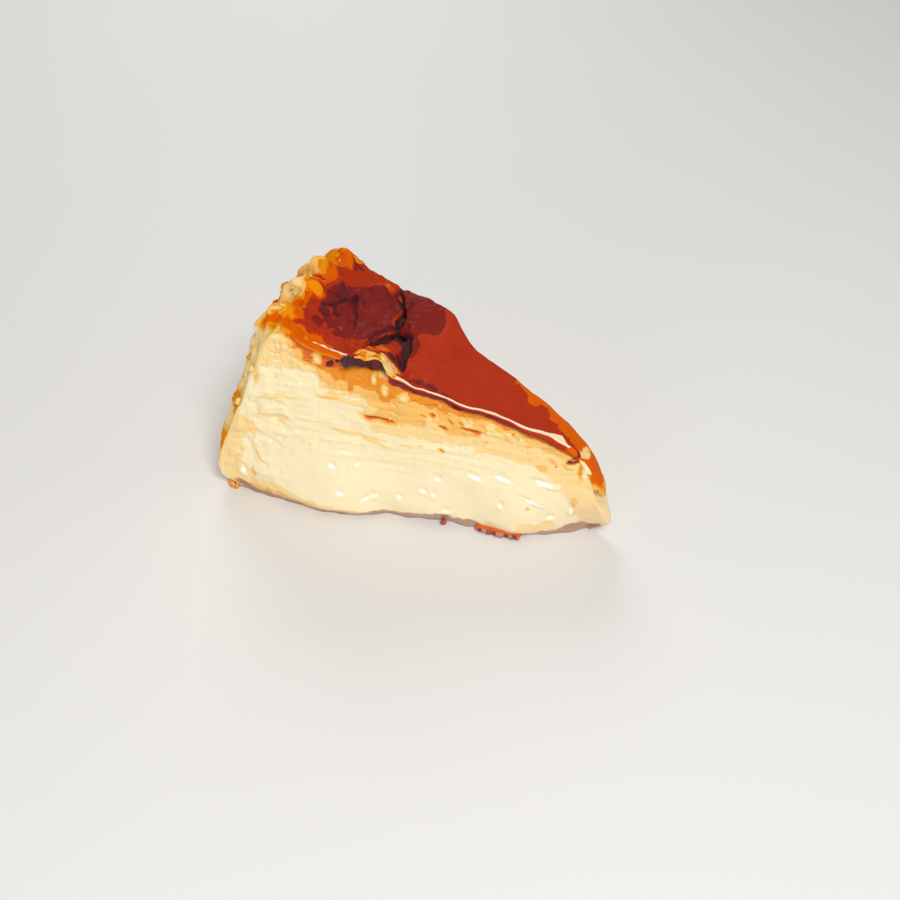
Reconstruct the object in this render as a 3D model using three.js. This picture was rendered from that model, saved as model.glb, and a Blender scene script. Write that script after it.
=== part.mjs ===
// A wedge of Basque burnt cheesecake: no biscuit base, a scorched top that climbs to a puckered rim,
// two knife-cut faces of soft custard that have slumped at the foot, and a tip under sagging skin.
// Millimetres. +X runs along the middle of the wedge from the rim to the tip, -Y is the side with the torn
// skin, and the slice rests on z = 0 with the middle of its bounding box over the origin.
// The whole surface is one function of three shares: t from the tip (0) to the rim (1), across from the
// torn side (-1) to the other side (1), and high from the foot (0) to the top (1).

import * as THREE from "three";
import { mergeVertices } from "three/addons/utils/BufferGeometryUtils.js";

const { clamp, degToRad, lerp, smoothstep } = THREE.MathUtils;

// Plan of the wedge. The apex is where its two cut planes would meet, just beyond the tip.
const WEDGE_ANGLE = degToRad(26);
const APEX_X = 62.05;
const APEX_Y = -0.24;
const NOSE_RADIUS = 3.1; // rounding of the tip
const CORNER_LOSS = 2.0; // crumbled off the two sharp corners of the rim
const CORNER_REACH = 0.2; // share of the half width that the loss takes up

// Tip of the slice: [share of the height there, distance from the apex]
const NOSE_PROFILE = [
  [0, 10.4],
  [0.06, 8.4],
  [0.14, 6.0],
  [0.25, 4.7],
  [0.5, 5.6],
  [0.85, 9.4],
  [1, 12.6],
];

// Outer side of the cake: [share of the height there, distance from the apex]
const SIDE_PROFILE = [
  [0, 113.4],
  [0.07, 118.0],
  [0.19, 119.0],
  [0.38, 115.6],
  [0.62, 108.6],
  [0.86, 102.8],
  [0.96, 100.0],
  [1, 97.4],
];

// Height of the top along the wedge: [distance from the apex, height]
const TOP_PROFILE = [
  [12.6, 27.9],
  [17, 31.1],
  [22, 33.1],
  [32, 36.9],
  [50, 42.0],
  [58, 44.4],
  [70, 49.4],
  [86, 54.2],
  [94.5, 59.4],
  [98.8, 58.2],
];

// Puckers that the lining paper pressed into the rim: place across, half width in degrees, height
const RIM_LOBES = [
  { at: -0.72, width: 2.5, rise: 2.1 },
  { at: -0.14, width: 2.1, rise: 3.0 },
  { at: 0.3, width: 2.0, rise: 2.5 },
  { at: 0.77, width: 2.0, rise: 2.7 },
];
const LOBE_SINK = 1.1; // how far the rim drops between two lobes
const LOBE_INNER_REACH = 17; // how far a lobe runs in over the top
const LOBE_OUTER_REACH = 0.6; // how far it runs down the side, as a share of the height
const LOBE_BELLY = 0.7; // how far it stands out of the side, against its height

// Swellings of the top, and its sunken corner: distance from the apex, reach towards the rim and the tip,
// place across, height
const TOP_SWELLS = [
  { at: 60.5, rimward: 12, tipward: 4, across: 1.05, width: 0.6, rise: 6.0 },
  { at: 88, rimward: 7, tipward: 9, across: 0.05, width: 0.6, rise: 2.0 },
  { at: 44, rimward: 14, tipward: 18, across: 0, width: 0.8, rise: 0.9 },
  { at: 96, rimward: 9, tipward: 9, across: 1.15, width: 0.28, rise: -4.2 },
  { at: 72, rimward: 4, tipward: 4, across: -1.05, width: 0.42, rise: 3.0 },
  { at: 67.2, rimward: 3.2, tipward: 1.5, across: -1.05, width: 0.4, rise: 3.9 },
];

// Folds of the scorched skin, each through its points [distance from the apex, place across]
const TOP_FOLDS = [
  { through: [[79, 0.9], [73.6, 0.6], [70, 0.25], [65.4, -0.3], [63.8, -0.6]], half: 2.2, depth: 2.6 },
  { through: [[70.4, 0.2], [70.2, -0.1], [72.8, -0.4], [77, -0.75]], half: 1.9, depth: 2.0 },
  { through: [[89.5, -0.1], [87.4, 0.1], [85, 0.2], [82, 0.07], [79.5, -0.18]], half: 1.8, depth: 1.2 },
];

// Slumped foot of the cut faces: [distance from the apex, how far it has crept out]
const FRONT_FOOT = [
  [8, -5.4],
  [13, -4.6],
  [18, -1.2],
  [23, 1.2],
  [31, 3.2],
  [41, 1.5],
  [54, 2.9],
  [66, 2.8],
  [81, 6.0],
  [99, 3.2],
  [112, 0.4],
];
const BACK_FOOT = [
  [14, 0],
  [26, 2.4],
  [40, 1.2],
  [58, 4.0],
  [74, 2.2],
  [92, 4.6],
  [112, 0.8],
];
const FOOT_HEIGHT = 0.55; // share of the height that the slump takes up
const FOOT_TUCK = 0.06; // share of the height over which the foot turns under again
const CUT_SHARE = 0.6; // place across beyond which a cut face alone pushes the surface

// Soft belly of the torn side near the tip
const BELLY = { at: 34, height: 12, long: 14, tall: 9, out: 1.8 };

// Hollow under the torn skin
const TEAR = { at: 71.3, long: 6.6, below: 2.9, tall: 1.7, deep: 4.2 };

// Relief: height and lump size
const CUT_GRAIN = { height: 0.4, size: 9 };
const SIDE_GRAIN = { height: 1.1, size: 6.5 };
const TOP_GRAIN = { height: 0.4, size: 5 };
const FOOT_GRAIN = { height: 0.9, size: 6 };
const FOOT_GRAIN_REACH = 10;

// Mesh
const STEPS_LONG = 56;
const STEPS_WIDE = 24;
const STEPS_HIGH = 20;
const EDGE_CROWDING = 1.4; // above 1, the rows of a side crowd towards its top edge

const HALF_ANGLE = WEDGE_ANGLE / 2;

// A smooth curve through [place, value] pairs, level beyond its ends. Each cubic piece takes the slope at
// its ends from the neighbours on both sides.
function along(pairs, x) {
  const last = pairs.length - 1;
  if (x <= pairs[0][0]) return pairs[0][1];
  if (x >= pairs[last][0]) return pairs[last][1];
  const i = pairs.findIndex((pair) => pair[0] > x) - 1;
  const slope = (k) => {
    const before = pairs[Math.max(k - 1, 0)];
    const after = pairs[Math.min(k + 1, last)];
    return (after[1] - before[1]) / (after[0] - before[0]);
  };
  const [[x0, y0], [x1, y1]] = [pairs[i], pairs[i + 1]];
  const span = x1 - x0;
  const s = (x - x0) / span;
  const bend = span * s * (1 - s) * ((1 - s) * slope(i) - s * slope(i + 1));
  return lerp(y0, y1, s * s * (3 - 2 * s)) + bend;
}

// A hump that is 1 at zero and dies away over about one unit.
const hump = (x) => Math.exp(-x * x);

// Repeatable noise from -1 to 1, smooth between the points of a unit lattice.
function latticeValue(x, y, z, seed) {
  const wild = Math.sin(x * 127.1 + y * 311.7 + z * 74.7 + seed * 53.3) * 43758.5453;
  return 2 * (wild - Math.floor(wild)) - 1;
}

function noise(x, y, z, seed) {
  const [x0, y0, z0] = [x, y, z].map(Math.floor);
  const [u, v, w] = [x - x0, y - y0, z - z0].map((s) => s * s * (3 - 2 * s));
  const row = (dy, dz) =>
    lerp(latticeValue(x0, y0 + dy, z0 + dz, seed), latticeValue(x0 + 1, y0 + dy, z0 + dz, seed), u);
  return lerp(lerp(row(0, 0), row(1, 0), v), lerp(row(0, 1), row(1, 1), v), w);
}

// Relief of one kind at a point: lumps of its size with smaller ones on them.
function grain(kind, plan, z, seed) {
  const [x, y, up] = [plan.x / kind.size, plan.y / kind.size, z / kind.size];
  return kind.height * (noise(x, y, up, seed) + 0.5 * noise(2 * x, 2 * y, 2 * up, seed + 1));
}

// How far a place of the top is from the line of a fold.
function distanceToFold(fold, r, across) {
  const flat = ([distance, side]) => new THREE.Vector2(distance, side * HALF_ANGLE * distance);
  const spot = flat([r, across]);
  const line = fold.through.map(flat);
  const distances = line.slice(1).map((end, i) => {
    const run = end.clone().sub(line[i]);
    const share = clamp(spot.clone().sub(line[i]).dot(run) / run.lengthSq(), 0, 1);
    return spot.distanceTo(line[i].clone().addScaledVector(run, share));
  });
  return Math.min(...distances);
}

// Height of the rim's lobes over the plain rim.
function lobeHeight(across) {
  const degrees = THREE.MathUtils.radToDeg(HALF_ANGLE);
  const lifts = RIM_LOBES.map(
    ({ at, width, rise }) => (rise + LOBE_SINK) * hump(((across - at) * degrees) / width),
  );
  return Math.max(...lifts) - LOBE_SINK;
}

// Height of the top, r from the apex.
function topHeight(r, across) {
  const rimShare = smoothstep(r, 100 - LOBE_INNER_REACH, 99);
  const swells = TOP_SWELLS.map((swell) => {
    const reach = r > swell.at ? swell.rimward : swell.tipward;
    return swell.rise * hump((r - swell.at) / reach) * hump((across - swell.across) / swell.width);
  });
  const folds = TOP_FOLDS.map((fold) => -fold.depth * hump(distanceToFold(fold, r, across) / fold.half));
  const relief = [...swells, ...folds].reduce((sum, lift) => sum + lift, 0);
  return along(TOP_PROFILE, r) + rimShare * lobeHeight(across) + relief;
}

// Plan of the slice with flat cut faces, measured from the apex.
function planPoint(t, across, high) {
  const turn = across * (Math.PI / 2 - HALF_ANGLE);
  const nose = new THREE.Vector2(NOSE_RADIUS * Math.cos(turn), NOSE_RADIUS * Math.sin(turn));
  nose.x -= along(NOSE_PROFILE, high) + NOSE_RADIUS;
  const loss = CORNER_LOSS * smoothstep(Math.abs(across), 1 - CORNER_REACH, 1) ** 2;
  const lobe = LOBE_BELLY * lobeHeight(across) * smoothstep(high, 1 - LOBE_OUTER_REACH, 1);
  const radius = along(SIDE_PROFILE, high) + lobe - loss;
  const angle = across * HALF_ANGLE;
  return nose.lerp(new THREE.Vector2(-radius * Math.cos(angle), radius * Math.sin(angle)), t);
}

// How far the foot of a cut face has crept out at this height.
function footCreep(foot, r, high) {
  const slump = smoothstep(1 - high / FOOT_HEIGHT, 0, 1) ** 1.3;
  const tuck = 0.75 + 0.25 * smoothstep(high, 0, FOOT_TUCK);
  return along(foot, r) * slump * tuck;
}

// How far the torn side stands out of its cut plane by its belly and the hollow under the skin.
function tornSideForm(r, z, below) {
  const belly = BELLY.out * hump((r - BELLY.at) / BELLY.long) * hump((z - BELLY.height) / BELLY.tall);
  const inTear = hump(((r - TEAR.at) / TEAR.long) ** 2) * hump((below - TEAR.below) / TEAR.tall);
  return belly - TEAR.deep * inTear;
}

// A point of the slice.
function slicePoint(t, across, high) {
  const crown = planPoint(t, across, 1);
  const height = topHeight(crown.length(), across) + grain(TOP_GRAIN, crown, 0, 11);
  const z = height * high;
  const plan = planPoint(t, across, high);
  const r = plan.length();
  const footShare = clamp(1 - z / FOOT_GRAIN_REACH, 0, 1);
  const ragged = footShare * grain(FOOT_GRAIN, plan, z, 31);
  const cut = ragged + grain(CUT_GRAIN, plan, z, 21);
  const front = footCreep(FRONT_FOOT, r, high) + tornSideForm(r, z, height - z) + cut;
  const back = footCreep(BACK_FOOT, r, high) + cut;
  const side = ragged + grain(SIDE_GRAIN, plan, z, 3);
  const frontOut = front * smoothstep(-across, -CUT_SHARE, CUT_SHARE);
  const backOut = back * smoothstep(across, -CUT_SHARE, CUT_SHARE);
  const rimOut = side * smoothstep(t, 0.85, 1);
  const noseOut = cut * smoothstep(1 - t, 0.95, 1) * (1 - Math.abs(across));
  return new THREE.Vector3(
    APEX_X + plan.x + Math.sin(HALF_ANGLE) * (frontOut + backOut) - rimOut + noseOut,
    APEX_Y + plan.y + Math.cos(HALF_ANGLE) * (backOut - frontOut),
    z,
  );
}

// Rows of a side, from the foot to the top edge.
const rowHeight = (row) => 1 - (1 - row / STEPS_HIGH) ** EDGE_CROWDING;

// Adds one side of the slice as a grid of triangles; pointAt gives its point for a column and a row.
function addSheet(positions, columns, rows, pointAt) {
  const grid = Array.from({ length: columns + 1 }, (_, i) =>
    Array.from({ length: rows + 1 }, (_, k) => pointAt(i, k)),
  );
  for (let i = 0; i < columns; i++)
    for (let k = 0; k < rows; k++) {
      const [a, b, c, d] = [grid[i][k], grid[i + 1][k], grid[i + 1][k + 1], grid[i][k + 1]];
      for (const p of [a, b, c, a, c, d]) positions.push(p.x, p.y, p.z);
    }
}

// Adds the flat base, cut into triangles from the outline of the foot.
function addBase(positions) {
  const walk = (steps, pointAt) => Array.from({ length: steps }, (_, i) => pointAt(i / steps));
  const outline = [
    ...walk(STEPS_LONG, (s) => slicePoint(s, -1, 0)),
    ...walk(STEPS_WIDE, (s) => slicePoint(1, 2 * s - 1, 0)),
    ...walk(STEPS_LONG, (s) => slicePoint(1 - s, 1, 0)),
    ...walk(STEPS_WIDE, (s) => slicePoint(0, 1 - 2 * s, 0)),
  ];
  const flat = outline.map((p) => new THREE.Vector2(p.x, p.y));
  for (const face of THREE.ShapeUtils.triangulateShape(flat, []))
    for (const i of face.reverse()) positions.push(outline[i].x, outline[i].y, 0);
}

function wedgeGeometry() {
  const positions = [];
  const across = (i) => (2 * i) / STEPS_WIDE - 1;
  addSheet(positions, STEPS_LONG, STEPS_HIGH, (i, k) => slicePoint(1 - i / STEPS_LONG, -1, rowHeight(k)));
  addSheet(positions, STEPS_LONG, STEPS_HIGH, (i, k) => slicePoint(i / STEPS_LONG, 1, rowHeight(k)));
  addSheet(positions, STEPS_WIDE, STEPS_HIGH, (i, k) => slicePoint(1, across(STEPS_WIDE - i), rowHeight(k)));
  addSheet(positions, STEPS_WIDE, STEPS_HIGH, (i, k) => slicePoint(0, across(i), rowHeight(k)));
  addSheet(positions, STEPS_LONG, STEPS_WIDE, (i, k) => slicePoint(1 - i / STEPS_LONG, across(k), 1));
  addBase(positions);
  const geometry = new THREE.BufferGeometry();
  geometry.setAttribute("position", new THREE.Float32BufferAttribute(positions, 3));
  return mergeVertices(geometry, 1e-3);
}

const burntCustard = new THREE.MeshStandardMaterial({ color: 0xd9a862, roughness: 0.55, metalness: 0 });

const group = new THREE.Group();
group.name = "basque_cheesecake";
const wedge = new THREE.Mesh(wedgeGeometry(), burntCustard);
wedge.name = "cheesecake_slice";
group.add(wedge);

export default group;
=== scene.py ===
"""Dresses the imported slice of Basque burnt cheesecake: a soft custard body with knife-cut faces, a scorched
skin with folds and a puckered rim, crumbs, and the browned bits at its foot. Shapes are worked out in
millimetres from the apex of the wedge, where its two cut planes meet, and put into the row's frame in metres.
The whole slice is one surface of three shares: t from the tip (0) to the rim (1), across from the torn side
(-1) to the other side (1), and high from the foot (0) to the top (1)."""

import bmesh
import bpy
import numpy as np
from bpy.props import FloatProperty, FloatVectorProperty, IntProperty, PointerProperty
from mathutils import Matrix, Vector


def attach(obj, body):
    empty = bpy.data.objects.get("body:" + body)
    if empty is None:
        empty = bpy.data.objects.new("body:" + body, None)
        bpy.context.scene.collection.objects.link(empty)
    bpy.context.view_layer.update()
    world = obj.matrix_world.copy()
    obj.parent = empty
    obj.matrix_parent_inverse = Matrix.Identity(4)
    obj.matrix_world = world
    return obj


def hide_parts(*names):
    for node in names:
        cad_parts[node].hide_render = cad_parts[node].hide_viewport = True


bl_info = {
    "name": "Burnt cheesecake slice",
    "version": (1, 0, 0),
    "blender": (4, 5, 0),
    "location": "View3D > Sidebar > Cheesecake",
    "description": "Builds a slice of burnt cheesecake on its packed solid, with its stage",
    "category": "Add Mesh",
}

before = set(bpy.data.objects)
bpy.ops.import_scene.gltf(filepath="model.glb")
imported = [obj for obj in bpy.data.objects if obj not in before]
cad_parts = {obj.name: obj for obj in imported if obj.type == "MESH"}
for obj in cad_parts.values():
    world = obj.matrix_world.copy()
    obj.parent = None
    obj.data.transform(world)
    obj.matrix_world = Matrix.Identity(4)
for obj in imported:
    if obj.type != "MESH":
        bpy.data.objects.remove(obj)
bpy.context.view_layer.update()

NODE = "cheesecake_slice"
MM = 0.001

# How baked a place is, from 0 for raw to 1 for black, also used for the shade painted into creases and
# hollows: the middles of the palette's colours
CREAM, PALE_AMBER, AMBER, DEEP_AMBER, ORANGE = 0.09, 0.24, 0.385, 0.52, 0.63
RED_BROWN, DARK_BROWN, BURNT, BLACK_BROWN = 0.745, 0.86, 0.93, 0.985
# The palette's colours in order, with how far each holds to either side
PALETTE = [
    ("cream", CREAM, 0.060),
    ("pale_amber", PALE_AMBER, 0.040),
    ("amber", AMBER, 0.050),
    ("deep_amber", DEEP_AMBER, 0.040),
    ("orange", ORANGE, 0.035),
    ("red_brown", RED_BROWN, 0.050),
    ("dark_brown", DARK_BROWN, 0.035),
    ("burnt", BURNT, 0.015),
    ("black_brown", BLACK_BROWN, 0.010),
]

# The finishes of the food. mask names the attribute that says how wet or glossy a place is, and with it
# roughness and coat run between their two values. cover names the attribute of the colour that lies on top.
FINISHES = {
    "moist custard": {
        "mask": "wet",
        # The custard's cover is the tan foot band, partly a baked base layer and partly painted shade of the
        # turned-under foot
        "cover": "foot",
        "patchiness": 0.055,
        "speckle": 0.022,
        "patch_size": 480.0,
        "crumb_size": 1100.0,
        "pore_size": 620.0,
        "roughness": (0.55, 0.30),
        "coat": (0.04, 0.9),
        "coat_roughness": 0.12,
        "coat_ior": 1.9,
        "scatter": 0.22,
        "scatter_radius": (0.0030, 0.0016, 0.0008),
        "specular": 0.4,
        "bump_height": 0.00035,
        "bump_strength": 0.55,
    },
    "scorched skin": {
        "mask": "gloss",
        # The skin's cover is a highlight painted pale along its torn edge
        "cover": "painted_edge_highlight",
        "patchiness": 0.05,
        "speckle": 0.02,
        "patch_size": 380.0,
        "crumb_size": 900.0,
        "pore_size": 520.0,
        "roughness": (0.70, 0.50),
        "coat": (0.0, 0.10),
        "coat_roughness": 0.22,
        "coat_ior": 1.5,
        "scatter": 0.08,
        "scatter_radius": (0.0018, 0.0006, 0.0003),
        "specular": 0.03,
        "bump_height": 0.0004,
        "bump_strength": 0.6,
    },
    "loose crumb": {
        "mask": "wet",
        "cover": None,
        "patchiness": 0.06,
        "speckle": 0.03,
        "patch_size": 700.0,
        "crumb_size": 1700.0,
        "pore_size": 1200.0,
        "roughness": (0.7, 0.3),
        "coat": (0.0, 0.35),
        "coat_roughness": 0.07,
        "coat_ior": 1.5,
        "scatter": 0.2,
        "scatter_radius": (0.0015, 0.0008, 0.0004),
        "specular": 0.08,
        "bump_height": 0.0003,
        "bump_strength": 0.5,
    },
}
# How far the border of the painted edge highlight is hardened, as shares of its attribute
CRISP_BORDER = (0.4, 0.6)

# Turn of the noise from each size to the next, so that their lattices don't line up
OCTAVE_TURN = np.array([[0.8, -0.6, 0], [0.48, 0.64, -0.6], [0.36, 0.48, 0.8]])

# Sizes of the solid that the pieces keep to
HALF = np.radians(13)
APEX = (62.05, -0.24)
NOSE_RADIUS = 3.1
CORNER_LOSS = 2.0
CORNER_REACH = 0.2
# Distance of the tip and of the rim from the apex, by share of the height
NOSE_PROFILE = [(0, 10.4), (0.06, 8.4), (0.14, 6), (0.25, 4.7), (0.5, 5.6), (0.85, 9.4), (1, 12.6)]
SIDE_PROFILE = [
    (0, 113.4), (0.07, 118), (0.19, 119), (0.38, 115.6), (0.62, 108.6), (0.86, 102.8), (0.96, 100), (1, 97.4),
]
# Height of the top, by distance from the apex
TOP_PROFILE = [
    (12.6, 27.9), (17, 31.1), (22, 33.1), (32, 36.9), (50, 42), (58, 44.4), (70, 49.4), (86, 54.2),
    (94.5, 59.4), (98.8, 58.2),
]
# Puckers of the rim: place across, width, rise
RIM_LOBES = [(-0.72, 2.5, 2.1), (-0.14, 2.1, 3), (0.3, 2, 2.5), (0.77, 2, 2.7)]
LOBE_SINK = 1.1
LOBE_INNER_REACH = 17
LOBE_OUTER_REACH = 0.6
LOBE_BELLY = 0.7
# Swellings of the top: distance, reach to the rim and to the tip, place across, width, rise
TOP_SWELLS = [
    (60.5, 12, 4, 1.05, 0.6, 6), (88, 7, 9, 0.05, 0.6, 2), (44, 14, 18, 0, 0.8, 0.9),
    (96, 9, 9, 1.15, 0.28, -4.2), (72, 4, 4, -1.05, 0.42, 3), (67.2, 3.2, 1.5, -1.05, 0.4, 3.9),
]
# Folds of the top as lines of (distance, place across), then with their half width and depth
MAIN_FOLD = [(79, 0.9), (73.6, 0.6), (70, 0.25), (65.4, -0.3), (63.8, -0.6)]
SIDE_FOLD = [(70.4, 0.2), (70.2, -0.1), (72.8, -0.4), (77, -0.75)]
HUMP_FOLD = [(89.5, -0.1), (87.4, 0.1), (85, 0.2), (82, 0.07), (79.5, -0.18)]
TOP_FOLDS = [(MAIN_FOLD, 2.2, 2.6), (SIDE_FOLD, 1.9, 2), (HUMP_FOLD, 1.8, 1.2)]
# How far the foot of each cut face has crept out, by distance
FRONT_FOOT = [
    (8, -5.4), (13, -4.6), (18, -1.2), (23, 1.2), (31, 3.2), (41, 1.5), (54, 2.9), (66, 2.8), (81, 6),
    (99, 3.2), (112, 0.4),
]
BACK_FOOT = [(14, 0), (26, 2.4), (40, 1.2), (58, 4), (74, 2.2), (92, 4.6), (112, 0.8)]
FOOT_HEIGHT = 0.55
FOOT_TUCK = 0.06
CUT_SHARE = 0.6
# Soft belly of the torn face: distance, height, half length, half height, how far out
BELLY = (34, 12, 14, 9, 1.8)
# Hollow under the torn skin: distance, half length, depth under the top, half height, depth
TEAR = (71.3, 6.6, 2.9, 1.7, 4.2)
# Grain of the solid: height, size, start of the noise
CUT_GRAIN = (0.4, 9, 21)
SIDE_GRAIN = (1.1, 6.5, 3)
TOP_GRAIN = (0.4, 5, 11)
FOOT_GRAIN = (0.9, 6, 31)
FOOT_GRAIN_REACH = 10

# Zones of the cut faces: distance from the apex, depth under the top edge at which they end
ORANGE_END = [(72, 0), (76, 1.2), (79, 3.4), (82, 3.8), (85, 3.2), (89, 2.2), (92, 0)]
DEEP_AMBER_END = [
    (8, 1), (14, 1.3), (22, 1.5), (30, 1.8), (38, 2.4), (45, 2.4), (52, 3), (60, 4.2), (65, 5.6), (70, 9),
    (75, 8.8), (79, 7), (83, 5.6), (88, 4.8), (92, 1.4), (97, 0),
]
AMBER_END = [
    (8, 1.6), (14, 2.4), (19, 3.2), (26, 3.8), (31, 3.6), (33, 5), (36.5, 4), (39, 3.6), (41, 6.6), (46, 8.8),
    (50, 10), (55, 8.8), (60, 10.2), (66, 12), (72, 14), (77, 12), (82, 9.5), (88, 6), (93, 2.4), (100, 0.8),
]
PALE_END = [
    (9, 30), (14.3, 25), (16, 17.5), (18.4, 15), (24, 12.4), (30, 12), (40, 12.2), (50, 12.5), (55, 14.5),
    (60, 16.5), (66, 18), (71, 19), (78, 15.5), (84, 11.5), (90, 9), (96, 10), (102, 12), (108, 12),
]
# Height of the amber along the foot, and of the tan band under it, partly a baked base layer and partly
# painted shade of the turned-under foot, by distance
FOOT_AMBER = [
    (8, 3), (18, 3.4), (26, 2.6), (40, 2.2), (60, 2), (75, 2.4), (85, 3.2), (95, 5.4), (103, 6.5), (112, 6),
]
FOOT_LINE = [
    (8, 3), (13, 2.6), (20, 1.7), (26, 1.5), (31, 0.7), (40, 1), (44, 2.2), (50, 2.6), (56, 2.2), (62, 1.3),
    (80, 1), (100, 1.2), (108, 1.6), (114, 2.2),
]

# Marks on the torn face: distance, height, half length, half height, fall to the tip, browning, strength
MARKS = [
    (76.4, 43, 1.1, 2.4, 0, 0.52, 1), (69.2, 33, 5.8, 1.8, 0.16, 0.39, 0.8),
    (69.4, 33, 4.1, 0.62, 0.16, 0.75, 1), (67, 32.3, 2.2, 0.9, 0.16, 0.62, 0.8),
    (54.2, 36.4, 1.1, 0.55, 0.2, 0.7, 1), (56.8, 36.5, 0.7, 0.4, 0.2, 0.6, 0.9),
    (51.3, 33, 1.1, 0.75, 0.4, 0.66, 1), (43.4, 33.3, 3.4, 0.5, 0.23, 0.68, 1),
    (49.1, 35.4, 1.1, 0.8, 0.7, 0.5, 0.9), (50.6, 37.8, 0.7, 0.5, 0, 0.5, 0.8),
    (48, 39.7, 1.6, 0.7, 0.3, 0.86, 1), (43, 38, 3, 0.55, 0.2, 0.52, 0.9), (44.6, 35.9, 2, 1.4, 0, 0.25, 0.9),
    (41, 34.9, 1.4, 1.6, 0, 0.37, 0.9), (51.3, 25.5, 1.3, 0.6, 0.3, 0.54, 1),
    (34, 32.8, 1, 0.6, 0.5, 0.39, 0.9), (31.6, 33, 1.1, 0.5, 0.6, 0.39, 0.9),
    (33.2, 31.2, 1.5, 0.5, 0.3, 0.4, 0.9), (24.2, 24.3, 2, 0.9, 0.1, 0.4, 1),
    (21.6, 26.8, 1.2, 0.7, 0.6, 0.4, 0.9), (17.4, 25.4, 1.6, 0.6, 0.3, 0.41, 0.9),
    (27.2, 11.2, 0.7, 0.6, 0, 0.44, 1), (14.8, 13.8, 0.8, 2, 1, 0.42, 1), (27, 3.6, 3.4, 2.6, 0, 0.25, 0.9),
    # The black-brown mark at 15.7 mm is painted shade in a slit under the skin's edge at the tip, also cut in
    # as a shallow groove
    (22, 4.4, 2.4, 2.6, 0, 0.26, 0.9), (15.7, 27.7, 2.3, 0.85, -0.45, 0.985, 1),
    (13.7, 24.8, 0.9, 2.8, 1.5, 0.52, 0.9), (12.6, 25, 0.6, 2.6, 1.5, 0.12, 0.9),
    (99.5, 29, 4.8, 1, 0.1, 0.25, 0.9), (96.6, 27.9, 1.6, 1.3, 0.1, 0.25, 0.9),
    (75, 26.6, 9, 0.8, 0.14, 0.25, 1), (70, 24.6, 4.5, 0.6, 0.3, 0.25, 0.9), (83, 38, 3.6, 0.6, 0, 0.38, 0.9),
    (76, 39, 4, 0.5, 0, 0.12, 0.9), (97, 36.4, 7, 0.8, 0.05, 0.25, 0.9),
    (102.6, 42.6, 0.9, 3.4, 0, 0.38, 0.8), (107.5, 24.5, 4.4, 3.2, 0.4, 0.25, 0.9),
    (104.4, 14.4, 3, 0.6, 1, 0.39, 0.9), (106.4, 8.4, 0.9, 2, 0, 0.44, 1), (67, 43, 0.8, 2.2, 0, 0.26, 1),
    (69.7, 46, 0.7, 2, 0, 0.27, 1), (61.8, 41.2, 1.5, 1.6, 0, 0.27, 1), (84.9, 50.4, 1.5, 2, 0, 0.27, 1),
    (90, 51, 1.4, 1.8, 0, 0.38, 0.9), (81.6, 49, 0.9, 0.9, 0, 0.95, 1),
    (88.5, 43.8, 4.2, 2.2, 0.2, 0.11, 0.9), (96, 44.6, 5, 2.2, 0.1, 0.12, 0.9),
]
# The pale streak under the hollow, a mark that lies over all the others
PALE_STREAK = (67.1, 47.1, 1.7, 0.3, 0.45, 0.06, 1.0)

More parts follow.
